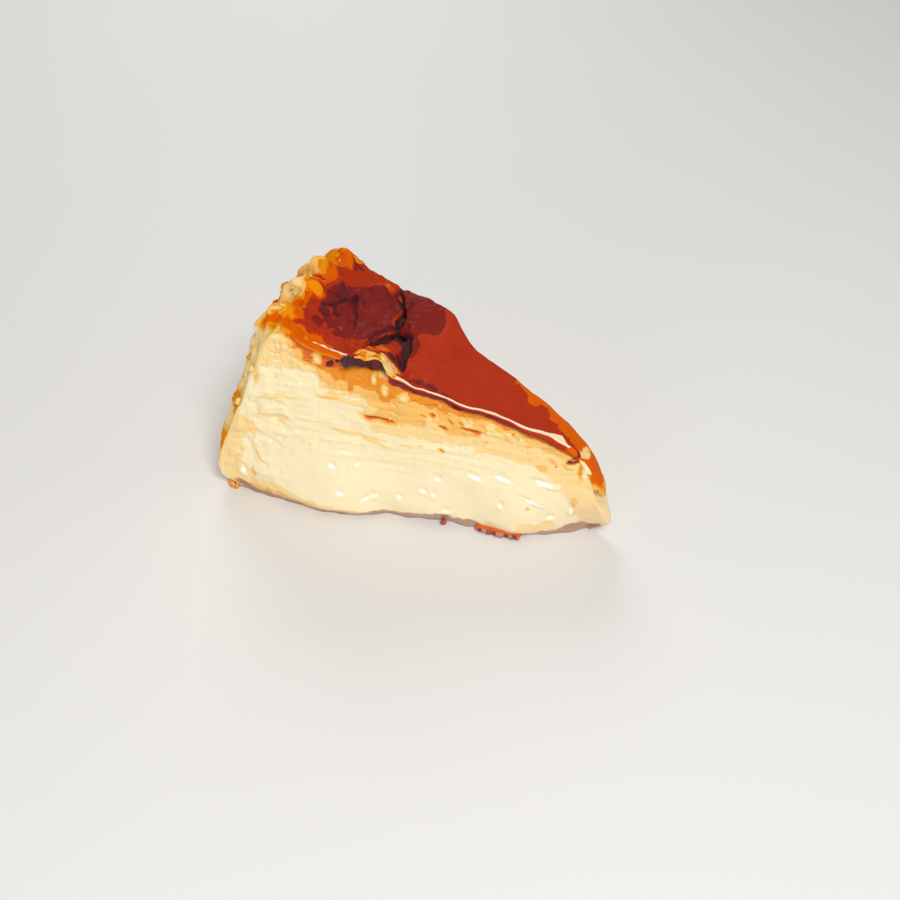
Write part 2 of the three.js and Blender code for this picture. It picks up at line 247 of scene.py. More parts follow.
# Patches of the skin: distance, place across, half length, half width in mm, browning
PATCHES = [
    (98.5, 0.68, 3.4, 3, 0.49), (100.6, 0.73, 0.9, 0.8, 0.1), (93.7, 0.69, 3, 3.2, 0.63),
    (90.9, 0.81, 1, 0.8, 0.46), (98.6, 0.2, 4.2, 3, 0.37), (97.2, 0.08, 2.6, 1.3, 0.5),
    (93.2, 0.27, 1.7, 1.7, 0.51), (91.3, 0.29, 2, 3, 0.63), (93.7, 0.11, 2.6, 1, 0.71),
    (89.6, 0.43, 2.6, 2.2, 0.74), (88.9, 0.73, 2.2, 1.6, 0.86), (99.4, -0.2, 4.4, 2.6, 0.19),
    (101.2, -0.12, 1.6, 1.4, 0.11), (95.3, -0.25, 1.5, 2, 0.37), (92.4, -0.16, 3, 1.5, 0.49),
    (101, -0.28, 1.6, 1.2, 0.48), (99, -0.64, 3.8, 2.8, 0.45), (100.6, -0.34, 1.4, 1, 0.28),
    (98.2, -0.52, 1.6, 1.2, 0.3), (97.4, -0.74, 2.8, 0.9, 0.26), (92.9, -0.72, 2.6, 2.4, 0.5),
    (95.2, -0.44, 1.4, 1.3, 0.63), (91.2, -0.68, 1.2, 2, 0.62), (100.4, -0.86, 2.6, 1, 0.63),
    (96.6, -0.87, 2.8, 1.1, 0.63), (92.8, -0.9, 2.6, 1.1, 0.62), (98.4, -0.99, 4.2, 0.9, 0.24),
    (92.4, -1, 2.8, 0.6, 0.5), (90.6, -0.86, 0.8, 0.8, 0.8), (88.4, -0.92, 2.6, 2, 0.62),
    (86, -0.84, 2.6, 1.9, 0.63), (83.2, -0.88, 2.2, 1, 0.62), (87.7, -0.51, 1.7, 1.5, 0.87),
    (75.4, -0.8, 1.2, 2.6, 0.865), (87.6, -0.32, 2, 0.9, 0.93), (86.2, 0.14, 3.2, 3.4, 0.93),
    (83.2, 0.26, 2.6, 1.7, 0.92), (86.8, 0.7, 2.2, 2, 0.74), (84.5, 0.86, 1.9, 1.6, 0.7),
    (81.4, 0.9, 1.7, 1.5, 0.67), (82.6, 0.58, 1.6, 1.5, 0.9), (90.2, 0.4, 1.6, 1.6, 0.73),
    (68.2, 0.08, 2.6, 2.8, 0.99), (66.2, -0.06, 1.4, 2.4, 0.98), (65.8, -0.36, 2, 1.2, 0.93),
    (58.4, -0.78, 2.6, 1.7, 0.87), (54.8, -0.84, 2.2, 1.5, 0.86), (51.4, -0.95, 2.6, 0.7, 0.84),
    (69, -0.08, 1.6, 1.2, 0.745), (70.4, -0.44, 2.6, 1.5, 0.62), (72, -0.64, 2.4, 1.6, 0.61),
    (71.5, -0.9, 3.2, 2, 0.37), (72.2, -0.94, 0.9, 1.1, 0.52), (68.6, -0.72, 0.5, 0.4, 0.97),
    (66.2, -0.9, 2, 2.3, 0.27), (67.2, -0.84, 0.6, 1, 0.36), (64.9, -0.72, 1, 1.5, 0.3),
    (66.9, -0.58, 1.2, 1.3, 0.985), (16.6, -0.9, 1.9, 1.3, 0.63), (13.4, -0.2, 1.1, 1.7, 0.2),
    # The black-brown patch at 15.4 mm is painted shade of the slit at the tip
    (14.2, -0.55, 1, 1.3, 0.22), (15.4, -0.92, 1.3, 0.6, 0.97),
]

# Darker zones of the skin: browning, and its bounds tipward and rimward as (place across, distance)
ZONES = [
    (
        0.862,
        [
            (-0.34, 64.8), (-0.13, 62.8), (0.11, 63), (0.2, 64.6), (0.31, 64.2), (0.38, 62.2), (0.48, 60.8),
            (0.83, 60.7), (1, 63),
        ],
        [
            (-0.34, 65), (-0.18, 66.4), (0.06, 66.8), (0.21, 68.5), (0.35, 70.8), (0.5, 71.8), (0.7, 73),
            (0.94, 78.2), (1, 78.5),
        ],
    ),
    (
        0.868,
        [
            (-0.64, 82), (-0.57, 80.4), (-0.5, 77.4), (-0.4, 75.2), (-0.2, 73.2), (0.25, 71.5), (0.7, 73),
            (1, 79),
        ],
        [
            (-0.64, 82.4), (-0.55, 84.5), (-0.35, 87.8), (-0.2, 89.2), (0.13, 89.9), (0.33, 87), (0.74, 83.4),
            (1, 79),
        ],
    ),
]

# Hollow under the torn skin, in the custard, painted dark as shade: distance, height, half length, half
# height, depth, browning of its painted shade
HOLLOWS = [
    (76.9, 50.8, 1.9, 1.9, 1.6, 1), (73.4, 50.6, 2.4, 1.2, 1, 1), (68.8, 50.9, 2.2, 2.3, 1.2, 1),
    (67, 49.2, 0.9, 1.5, 0.8, 0.985),
]
# Lower border of the dark opening under the torn skin, below which no shade is painted: distance, height
OPENING_FLOOR = [
    (65, 47.6), (66.8, 47.4), (68.3, 48.6), (70.5, 48.3), (72, 49.1), (75, 49.3), (77, 48.4), (79, 49.4),
]

# Wet facets of slumped custard that lean back and catch the light: distance, height, half length, fall to the
# tip, half height. All lean alike, and turn a little more to the tip the further they are from the apex.
FACETS = [
    (42.3, 18.4, 2.1, 0.25, 0.95), (34.3, 19.3, 2.6, 0.1, 0.7), (22.9, 19.3, 3.4, 0.25, 0.8),
    (26.4, 13.5, 3.1, 0.4, 0.55), (34.6, 11.1, 1, 0, 1.1), (15.4, 11, 0.7, 0, 1.9), (20.8, 7.9, 1.4, 0, 0.95),
    (50.2, 5.1, 2, -0.1, 0.95), (52.6, 15.4, 1.2, 0, 1), (56.6, 10.9, 1.3, 0, 0.95), (53.6, 10.2, 1, 0, 1.1),
    (82.6, 15.8, 1.1, 0, 1), (75.4, 16.5, 0.9, 0, 0.8), (80, 8, 1.6, 0, 1.2), (71.9, 6.7, 2.6, -0.25, 0.95),
    (70.4, 7.8, 1.3, 0, 0.95), (63.5, 7.8, 1.1, 0, 1), (109.8, 7.8, 1.1, 0, 1.7),
]
# Lean of the facets, and their turn for each mm beyond the distance at which they look straight
FACET_LEAN = 0.52
FACET_TURN = 0.0028
FACET_STRAIGHT = 43

# The skin's own sharp creases, and the thin lifted ridge between them: points, half width, depth
CREASES = [
    ([(79.2, 1), (77.2, 0.88), (74.6, 0.75), (73.3, 0.65)], 0.6, 1.2),
    ([(73.3, 0.65), (72.3, 0.48), (71.9, 0.24), (70.4, 0.12)], 0.9, 1.4),
    ([(74, 0.74), (72.2, 0.78), (71.4, 0.7), (71.9, 0.56)], 0.5, 0.7),
    ([(70.8, 0.22), (68.2, 0.2), (66.4, 0.1), (65.2, -0.1), (65.6, -0.27), (64.6, -0.46)], 0.8, 1.2),
    ([(70.9, 0.07), (71.5, -0.14), (72.7, -0.28), (73.8, -0.42), (74, -0.62)], 0.7, 1.1),
    ([(71.8, 0.2), (72.4, 0.1), (73, -0.06), (74, -0.22), (74.6, -0.34)], 0.45, 0.7),
    ([(88.6, -0.24), (86.6, -0.14), (85.9, 0.08), (84.3, 0.24)], 0.6, 0.8),
    ([(84.3, 0.24), (82.8, 0.1), (81.2, -0.03)], 0.5, 0.7),
    ([(81.2, -0.03), (78.8, -0.32)], 0.3, 0.35),
    ([(86.6, -0.14), (85, -0.24), (84, -0.22)], 0.4, 0.5),
]
RIDGE = [(72.7, 0.16), (73.6, 0.4), (74.5, 0.66)]
# Where the orange along the far edge begins: distance, place across
FAR_ORANGE = [
    (12, -0.7), (17.8, -0.28), (20, -0.01), (21.2, 0.12), (25, 0.26), (25.8, 0.5), (27.3, 0.78), (28.8, 0.6),
    (30.2, 0.38), (31.8, 0.34), (33, 0.6), (35, 0.82), (38, 0.9), (40.5, 1.05), (42, 1.15),
]
# Painted highlight along the torn side's edge of the skin, pale where its raised lip catches the light:
# distance, how far inside the edge it starts, width
EDGE_HIGHLIGHT = [
    (17.6, 0, -0.5), (18.1, 0, 1.6), (19.9, 0, 3.6), (21.3, 0, 3.5), (23.6, 0, 2.5), (25.8, 0, 1.4),
    (28, 0, 0.5), (31, 0, 0.2), (34, 0, 0.35), (38.5, 0, 0.95), (42, 0, 0.45), (46, 0, 0.25), (59.5, 0, 0.2),
    (61.2, 0, 0.7), (63, 0, 1.3), (64, 0, 1.1), (64.4, 0, 0), (64.7, 0, -0.5), (76.6, 0.9, -0.5),
    (77.2, 0.9, 0.5), (81, 1.1, 0.55), (85.5, 1.2, 0.45), (87, 1.3, -0.3),
]
# How far the skin's lip is raised along the torn side's edge: distance, rise
EDGE_RISE = [
    (12, 0.9), (15, 1.5), (20, 1.8), (25, 1.4), (30, 0.8), (34, 0.6), (42, 0.5), (60, 0.5), (64, 0.6),
    (66, 0), (76, 0), (80, 0.3), (88, 0),
]

# Dark and tan blocks of the strip at the foot: distance, half length
FOOT_DARKS = [(40, 0.7), (37.6, 0.6), (35.8, 0.9), (32.4, 0.8), (30.2, 0.9)]
FOOT_TANS = [(38.8, 0.6), (34.2, 0.9), (31.3, 0.4)]

# The burnt syrup in the hollow, a dark rod that also stands in for the shade of the opening, by the distance
# taken as negative: how far out, how high, half height
SYRUP_SHADE_OUT = [(-78.5, 0.7), (-76.7, 0.9), (-75, -0.2), (-73, -0.8), (-70, -1.5), (-66.3, -1.7)]
SYRUP_SHADE_HEIGHT = [
    (-78.5, 51.2), (-75.4, 51.1), (-73, 50.5), (-71.5, 50.6), (-69, 51), (-67.6, 50.5), (-66.3, 48.9),
]
SYRUP_SHADE_TALL = [(-75.6, 1.45), (-73, 1.3), (-71.5, 1.35), (-69.2, 2.3), (-67.8, 2), (-66.3, 1.2)]
# The large bead at the end of the syrup: distance, half length, radius
SYRUP_BALL = (76.6, 1.6, 1.7)

# How far the flap of torn skin hangs over the hollow: distance, drop
FLAP_HANG = [
    (65.4, 0.75), (66.2, 0.9), (66.9, 0.7), (67.6, 0.65), (69.4, 0.65), (70.3, 1.1), (71.1, 1.75),
    (71.9, 1.85), (72.7, 1.4), (73.8, 0.8), (74.8, 0.7),
]
# Beads beside the syrup: distance from the apex, height, how far out of the face, radius
LOOSE_BEADS = [(81.3, 49.4, -0.1, 0.75), (79.2, 50.9, 0.4, 0.45)]
# Browned bits at the foot: distance from the apex, how far out, height, radius, browning
FOOT_BITS = [(50.7, 2.5, 1.5, 1.1, 0.7), (114.4, -0.4, 1.4, 1.4, 0.52), (113.2, 0.3, 1, 1, 0.5)]
# How deep a crease may reach, so that the custard doesn't come through the skin
DEEPEST_CREASE = 2.3


def smoothstep(x, low, high):
    """Runs from 0 to 1 as x goes from low to high, level at both ends."""
    s = np.clip((np.asarray(x, float) - low) / (high - low), 0, 1)
    return s * s * (3 - 2 * s)


def hump(x):
    """1 at zero, dying away over about one unit."""
    return np.exp(-np.square(x))


def mix(a, b, share):
    return a + (b - a) * share


def along(pairs, x):
    """A smooth curve through (place, value) pairs, level beyond its ends: cubic pieces, each end's slope
    being that of the line between its two neighbours."""
    p = np.asarray(pairs, float)
    x = np.clip(x, p[0, 0], p[-1, 0])
    before = np.vstack([p[:1], p[:-1]])
    after = np.vstack([p[1:], p[-1:]])
    slope = (after[:, 1] - before[:, 1]) / (after[:, 0] - before[:, 0])
    i = np.clip(np.searchsorted(p[:, 0], x, side="right") - 1, 0, len(p) - 2)
    span = p[i + 1, 0] - p[i, 0]
    s = (x - p[i, 0]) / span
    bend = span * s * (1 - s) * ((1 - s) * slope[i] - s * slope[i + 1])
    return mix(p[i, 1], p[i + 1, 1], s * s * (3 - 2 * s)) + bend


def lattice(x, y, z, seed):
    """A repeatable value from -1 to 1 for each whole-numbered place: the fraction of a large sine."""
    wild = np.sin(x * 127.1 + y * 311.7 + z * 74.7 + seed * 53.3) * 43758.5453
    return 2 * (wild - np.floor(wild)) - 1


def noise(x, y, z, seed):
    """Smooth noise from -1 to 1: the lattice's eight values round a place, eased into each other."""
    x, y, z = np.broadcast_arrays(x, y, z)
    x0, y0, z0 = np.floor(x), np.floor(y), np.floor(z)
    u, v, w = (s * s * (3 - 2 * s) for s in (x - x0, y - y0, z - z0))

    def row(dy, dz):
        return mix(lattice(x0, y0 + dy, z0 + dz, seed), lattice(x0 + 1, y0 + dy, z0 + dz, seed), u)

    return mix(mix(row(0, 0), row(1, 0), v), mix(row(0, 1), row(1, 1), v), w)


def grain(kind, x, y, z):
    """The solid's own relief: lumps of one size with half as high ones of half the size on them."""
    height, size, seed = kind
    x, y, z = x / size, y / size, z / size
    return height * (noise(x, y, z, seed) + 0.5 * noise(2 * x, 2 * y, 2 * z, seed + 1))


def layered(points, size, seed, seed_step, octaves, finer, lower, shape):
    """Noise in several sizes, shaped and added up: each is turned, and finer and lower than the last by the
    given factors. Returns the sum, and the most that it can be."""
    q = np.asarray(points) / np.asarray(size, float)
    total, height, full = 0, 1.0, 0
    for step in range(octaves):
        total = total + height * shape(noise(q[..., 0], q[..., 1], q[..., 2], seed + seed_step * step))
        full += height
        q = finer * q @ OCTAVE_TURN
        height *= lower
    return total, full


def lumps(points, size, seed, octaves=3):
    """Noise in several sizes, each half the last and a little over half as high. size may differ by axis."""
    return layered(points, size, seed, 7, octaves, 2.03, 0.55, np.asarray)[0]


def ridges(points, size, seed, octaves=2):
    """Sharp crests from 0 to 1 where noise changes sign, in several sizes."""
    total, full = layered(points, size, seed, 5, octaves, 2.1, 0.5, lambda value: 1 - np.abs(value))
    return total / full


def fold_distance(line, r, across):
    """How far places of the top are from a line of (distance from the apex, place across) points, in mm."""
    place = np.stack(np.broadcast_arrays(r, across * HALF * r), -1)
    points = np.array([(at, side * HALF * at) for at, side in line])
    nearest = np.full(place.shape[:-1], np.inf)
    for start, end in zip(points[:-1], points[1:]):
        run = end - start
        share = np.clip((place - start) @ run / (run @ run), 0, 1)
        gap = np.linalg.norm(place - start - share[..., None] * run, axis=-1)
        nearest = np.minimum(nearest, gap)
    return nearest


def lobe_height(across):
    """Height of the rim's puckers: the highest of their humps, less the drop between them."""
    lifts = [(rise + LOBE_SINK) * hump((across - at) * 13 / width) for at, width, rise in RIM_LOBES]
    return np.max(lifts, axis=0) - LOBE_SINK


def top_height(r, across):
    """Height of the top: the profile along the wedge, the puckers near the rim, the swellings as humps that
    reach differently far to the rim and to the tip, less the folds as furrows along their lines."""
    height = along(TOP_PROFILE, r) + smoothstep(r, 100 - LOBE_INNER_REACH, 99) * lobe_height(across)
    for at, rimward, tipward, side, width, rise in TOP_SWELLS:
        reach = np.where(r > at, rimward, tipward)
        height = height + rise * hump((r - at) / reach) * hump((across - side) / width)
    for line, half, depth in TOP_FOLDS:
        height = height - depth * hump(fold_distance(line, r, across) / half)
    return height


def plan_point(t, across, high):
    """Plan of the slice with flat cut faces: straight lines from the arc of the tip to that of the rim."""
    turn = across * (np.pi / 2 - HALF)
    nose_x = NOSE_RADIUS * np.cos(turn) - along(NOSE_PROFILE, high) - NOSE_RADIUS
    nose_y = NOSE_RADIUS * np.sin(turn)
    loss = CORNER_LOSS * smoothstep(np.abs(across), 1 - CORNER_REACH, 1) ** 2
    lobe = LOBE_BELLY * lobe_height(across) * smoothstep(high, 1 - LOBE_OUTER_REACH, 1)
    radius = along(SIDE_PROFILE, high) + lobe - loss
    angle = across * HALF
    return mix(nose_x, -radius * np.cos(angle), t), mix(nose_y, radius * np.sin(angle), t)


def foot_creep(foot, r, high):
    """How far a cut face's foot has crept out: its curve, dying away upwards and turned under at the base."""
    slump = smoothstep(1 - high / FOOT_HEIGHT, 0, 1) ** 1.3
    return along(foot, r) * slump * (0.75 + 0.25 * smoothstep(high, 0, FOOT_TUCK))


def tear_depth(r, below):
    """Depth of the solid's hollow under the torn skin."""
    at, long, under, tall, deep = TEAR
    return deep * hump(((r - at) / long) ** 2) * hump((below - under) / tall)


def torn_side_form(r, z, below):
    """The torn side's soft belly, less the hollow under its skin."""
    at, height, long, tall, out = BELLY
    return out * hump((r - at) / long) * hump((z - height) / tall) - tear_depth(r, below)


def slice_surface(t, across, high, crown_drop=0.0):
    """The solid's surface. Each point stands at its share of the height of the top over it, and the cut faces
    are pushed out by their feet, forms and grain. Returns the points, their distance from the apex, that
    of the top over them, and how far they are below the top."""
    t, across, high, crown_drop = np.broadcast_arrays(t, across, high, crown_drop)
    crown_x, crown_y = plan_point(t, across, 1.0)
    crown_r = np.hypot(crown_x, crown_y)
    height = top_height(crown_r, across) + grain(TOP_GRAIN, crown_x, crown_y, 0.0) - crown_drop
    z = height * high
    x, y = plan_point(t, across, high)
    r = np.hypot(x, y)
    foot_rag = np.clip(1 - z / FOOT_GRAIN_REACH, 0, 1) * grain(FOOT_GRAIN, x, y, z)
    cut = foot_rag + grain(CUT_GRAIN, x, y, z)
    front = foot_creep(FRONT_FOOT, r, high) + torn_side_form(r, z, height - z) + cut
    back = foot_creep(BACK_FOOT, r, high) + cut
    side = foot_rag + grain(SIDE_GRAIN, x, y, z)
    front = front * smoothstep(-across, -CUT_SHARE, CUT_SHARE)
    back = back * smoothstep(across, -CUT_SHARE, CUT_SHARE)
    rim = side * smoothstep(t, 0.85, 1)
    nose = cut * smoothstep(1 - t, 0.95, 1) * (1 - np.abs(across))
    x = x + np.sin(HALF) * (front + back) - rim + nose
    y = y + np.cos(HALF) * (back - front)
    return np.stack([x, y, z], -1), r, crown_r, height - z


def zone_share(below, end, softness):
    """1 above the depth at which a zone ends and 0 under it."""
    return 1 - smoothstep(below - end, -softness, softness)


def ragged(points, seed, coarse, fine):
    """Two offsets that make a border ragged: noise of about 2.4 mm and of 0.9 mm, each as strong as given."""
    first = coarse * lumps(points, 2.4, seed, 2) + fine * lumps(points, 0.9, seed + 3, 2)
    second = coarse * lumps(points, 2.4, seed + 11, 2) + fine * lumps(points, 0.9, seed + 14, 2)
    return first, second


def spot(a, b):
    """A flat-topped spot: 1 inside the unit circle of a and b, quickly down to 0 outside it."""
    return np.exp(-((a * a + b * b) ** 2.2))


def lay_marks(browning, marks, r, z):
    """Blends each mark into the browning: a spot, longer along the cut and tilted by its fall."""
    for at, height, long, tall, fall, value, strength in marks:
        share = strength * spot((r - at) / long, (z - height - fall * (r - at)) / tall)
        browning = mix(browning, value, share)
    return browning


def face_normal(side):
    """Level direction that a cut face looks in: side is -1 for the torn face and 1 for the other."""
    return np.array([np.sin(HALF), side * np.cos(HALF), 0.0])


def beside_face(r, out, z):
    """Points at a distance from the apex along the torn face, out from its plane, and up."""
    x = -r * np.cos(HALF) + out * np.sin(HALF)
    y = -r * np.sin(HALF) - out * np.cos(HALF)
    return np.stack(np.broadcast_arrays(x, y, z), -1)


def wetness(r, z):
    """1 where the custard is wet and slumped, near the foot and the tip, and 0 where it is crumbly."""
    low = 1 - smoothstep(z, 12, 24)
    tipward = 1 - smoothstep(r, 56, 84)
    return np.clip(low * (0.75 + 0.25 * tipward) * (1 - 0.4 * smoothstep(r, 100, 108)), 0, 1)


def own_hollows(r, z):
    """Depth of the hollows that the torn face has besides the solid's: flat-bottomed ovals."""
    total = 0
    for at, height, long, tall, deep, burnt in HOLLOWS:
        total = total + deep * np.exp(-(np.hypot((r - at) / long, (z - height) / tall) ** 4))
    return total


def cut_face_relief(points, r, z, below, side):
    """How far fine relief stands out of a cut face: crumbs where it is dry, level drag marks of the knife,
    soft slumps where it is wet, torn crumbs at the rim, and for the torn face its facets, hollows and
    slits. Just under the skin, which overhangs it, the face draws in."""
    wet = wetness(r, z)
    seed = 50 + 40 * (side > 0)
    p = np.stack([r, np.full_like(r, 3.0 * side), z], -1)
    near_rim = smoothstep(r, 88, 104)
    near_top = 1 - smoothstep(below, 3, 17)
    rough = np.clip(0.30 + 0.70 * np.maximum(near_rim, near_top), 0, 1) * (1 - 0.92 * wet)
    rough = rough * (1 - 0.5 * smoothstep(-r, -44, -30))
    out = 0.36 * rough * lumps(p, 2.4, seed, 4)
    out = out + 0.24 * (1 - 0.9 * wet) * lumps(p, (13, 1, 1.5), seed + 3, 3)
    out = out - 0.45 * rough * smoothstep(ridges(p, (4.2, 1, 2.6), seed + 9, 2), 0.80, 0.96)
    out = out + 0.3 * wet * lumps(p, (9, 1, 6.5), seed + 13, 2)
    out = out + 0.30 * near_rim * lumps(p, (3.6, 1, 4.4), seed + 17, 3)
    out = out - 0.50 * (0.2 + rough) * smoothstep(lumps(p, 1.2, seed + 23, 2), 0.70, 1.1)
    if side < 0:
        stands = points @ face_normal(side) + out
        for at, height, long, fall, tall in FACETS:
            dr, dz = r - at, z - height
            middle = np.unravel_index(np.argmin(dr**2 + dz**2), r.shape)
            plane = stands[middle] + FACET_TURN * (at - FACET_STRAIGHT) * dr - FACET_LEAN * dz
            share = spot(dr / (1.15 * long), (dz - fall * dr) / (1.3 * tall))
            out = out + share * (plane - stands)
        out = out - smoothstep(below, 0.6, 2.0) * own_hollows(r, z)
        under_floor = (1 - smoothstep(z - along(OPENING_FLOOR, r), -1.4, 0)) * (1 - smoothstep(r, 69.5, 73))
        out = out + tear_depth(r, below) * np.maximum(1 - smoothstep(r, 65.2, 66.8), under_floor)
        for at, height, long, tall, fall, value, strength in MARKS:
            if value > 0.6 and tall < 1:
                dz = (z - height - fall * (r - at)) / tall
                out = out - 0.9 * np.exp(-(((r - at) / long) ** 4) - dz**2)
    return out - 0.5 * hump((below - 1.1) / 0.7)


def custard_browning(r, z, below, side):
    """How baked the cut custard is: orange and amber bands that follow the top edge and run out downwards in
    level streaks, amber along the foot and the rim, and the torn face's marks, with shade painted black-brown
    in the hollow and the opening under the torn skin."""
    p = np.stack([r, np.full_like(r, 7.0 * side), z], -1)
    streak = lumps(p, (8.5, 1, 1.5), 110 + side, 3)
    flame = lumps(p, (2.6, 1, 1.6), 120 + side, 3)
    depth = below + 1.7 * streak + 0.9 * flame
    value = 0.095 + 0.03 * lumps(p, (9, 1, 3), 131, 2)
    for zone, reach, softness, rise in (
        (PALE_END, depth, 0.7, 0.15),
        (AMBER_END, depth, 0.6, 0.145),
        (DEEP_AMBER_END, below + 0.6 * streak + 0.9 * flame, 0.45, 0.13),
        (ORANGE_END, below + 0.5 * flame, 0.3, 0.11),
    ):
        value = value + rise * zone_share(reach, along(zone, r), softness)
    rimward = smoothstep(r + 1.6 * flame + 1.2 * streak, 106, 113)
    value = np.maximum(value, CREAM + 0.16 * rimward)
    foot = along(FOOT_AMBER, r) + 0.7 * streak + 0.8 * flame
    value = np.maximum(value, CREAM + 0.155 * (1 - smoothstep(z, foot - 0.5, foot + 0.5)))
    value = np.maximum(value, CREAM + 0.29 * (1 - smoothstep(z, 0.55 * foot - 0.4, 0.55 * foot + 0.4)))
    if side < 0:
        dr, dz = ragged(p, 170, 0.35, 0.25)
        near_r, near_z = r + dr, z + 0.6 * dz
        value = lay_marks(value, MARKS, near_r, near_z)
        # Painted shade: each hollow under the torn skin is painted in its own dark tone
        for at, height, long, tall, deep, burnt in HOLLOWS:
            away = np.hypot((near_r - at) / (1.05 * long), (near_z - height) / (1.1 * tall))
            value = mix(value, burnt, np.exp(-(away**8)))
        # Painted shade: where the hollows are deep, between 66 and 79 mm from the apex and above the
        # opening's floor, the custard is painted black-brown
        inside = smoothstep(tear_depth(near_r, below) + own_hollows(near_r, near_z), 0.9, 1.7)
        inside = inside * smoothstep(near_r, 65.9, 66.5) * (1 - smoothstep(near_r, 78.4, 79.0))
        inside = inside * smoothstep(near_z - along(OPENING_FLOOR, r), -0.3, 0.1)
        value = mix(value, BLACK_BROWN, inside)
    line = smoothstep(80 - r, 0, 3) * (1 - smoothstep(below + 0.3 * flame, 0.9, 1.5))
    value = mix(value, mix(0.72, 0.87, smoothstep(r, 20, 50)), line)
    return lay_marks(value, [PALE_STREAK], r, z) if side < 0 else value


def foot_band(r, z, side):
    """1 on the thin tan band at the foot, partly a baked base layer and partly painted shade where the foot
    turns under, with a wavy top.
    """
    p = np.stack([r, np.full_like(r, 5.0 * side), z], -1)
    top = along(FOOT_LINE, r) * (1.4 + 0.55 * lumps(p, (3.2, 1, 40), 180, 3))
    return 1 - smoothstep(z, top - 0.18, top + 0.18)


def weld(points, blocks, attributes, name):
    """Makes a mesh in the row's frame from blocks of faces, joins its doubles, stops if an edge is open, and
    turns its faces outwards."""
    mesh = bpy.data.meshes.new(name)
    place = (points + np.array([APEX[0], APEX[1], 0.0])) * MM
    mesh.from_pydata(place.tolist(), [], sum((block.tolist() for block in blocks), []))
    for key, values in attributes.items():
        layer = mesh.attributes.new(key, "FLOAT", "POINT")
        layer.data.foreach_set("value", np.ascontiguousarray(values, np.float32))
    shell = bmesh.new()
    shell.from_mesh(mesh)
    bmesh.ops.remove_doubles(shell, verts=shell.verts, dist=2e-6)
    open_edges = sum(len(edge.link_faces) != 2 for edge in shell.edges)
    if open_edges:
        raise RuntimeError(f"{name} has {open_edges} open or shared edges")
    bmesh.ops.recalc_face_normals(shell, faces=shell.faces)
    shell.to_mesh(mesh)
    shell.free()
    mesh.polygons.foreach_set("use_smooth", [True] * len(mesh.polygons))
    mesh.update()
    return mesh


def grid_faces(rows, columns, first=0):
    """Four-sided faces of a grid of points that is stored row by row."""
    i, k = np.meshgrid(np.arange(rows - 1), np.arange(columns - 1), indexing="ij")
    a = (first + i * columns + k).ravel()
    return np.stack([a, a + 1, a + columns + 1, a + columns], -1)


def place_piece(name, mesh, material):
    piece = bpy.data.objects.new(name, mesh)
    bpy.context.scene.collection.objects.link(piece)
    piece.data.materials.append(material)
    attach(piece, "root")
    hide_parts(NODE)


def custard_part(sizes, t, across, high):
    """A sheet of the body, as a function of the slice's three shares. It stays half the skin's thickness
    inside the solid's top and rim, and its top sinks further in from the cut faces, where the skin hides
    it."""
    t, across, high = (a.astype(float) for a in np.broadcast_arrays(t, across, high))
    tuck = 0.55 * sizes.skin_thickness
    inward = 1 - np.abs(across)
    drop = tuck + 2.6 * smoothstep(inward, 0.04, 0.2) + 2.8 * smoothstep(inward, 0.2, 0.5)
    points, r, _, below = slice_surface(t, across, high, drop)
    z = points[..., 2]
    rim = smoothstep(t, 0.9, 1.0)
    under_drape = smoothstep(high, 0.55, 0.72) * (1 - smoothstep(t, 0, 0.02)) * smoothstep(inward, 0, 0.3)
    points[..., 0] += tuck * (rim * (0.4 + 1.6 * smoothstep(inward, 0, 0.2)) - under_drape)
    # Painted shade: the custard's hidden top under the torn skin, which shows through the gap, is painted
    # black-brown
    browning = 0.3 + 0.685 * smoothstep(r, 63, 65) * (1 - smoothstep(r, 78, 80)) * (across < -0.3)
    foot = np.zeros(r.shape)
    wet = wetness(r, z)
    for side in (-1, 1):
        on_face = across == side
        fade = on_face * smoothstep(high, 0, 0.02) * (1 - 0.6 * smoothstep(high, 0.995, 1.0))
        fade = fade * (1 - 0.9 * smoothstep(t, 0.985, 1)) * smoothstep(t, 0, 0.02)
        relief = cut_face_relief(points, r, z, below, side)
        points = points + (fade * relief)[..., None] * face_normal(side)
        browning = np.where(on_face, custard_browning(r, z, below, side), browning)
        foot = np.where(on_face, foot_band(r, z, side), foot)
    for at, height, long, fall, tall in FACETS:
        gleam = spot((r - at) / (1.5 * long), (z - height - fall * (r - at)) / (2 * tall))
        wet = np.maximum(wet, (across == -1) * gleam)
    p = np.stack([np.full_like(r, 3.0), across * 4, z], -1)
    tip = (t == 0) & (np.abs(across) < 1)
    tip_tone = PALE_AMBER + 0.24 * smoothstep(z + 1.6 * lumps(p, 2.4, 160, 3), 15, 18)
    browning = np.where(tip, tip_tone, browning)
    # Under the tip the tan band reaches higher: painted shade of the underside, which is tucked up off the
    # ground
    foot = np.where(tip, 1 - smoothstep(z + 0.7 * lumps(p, 2.4, 165, 2), 2.6, 3.1), foot)
    foot = np.where(high == 0, 1.0, foot)
    return points, {"browning": browning, "wet": wet, "foot": foot}


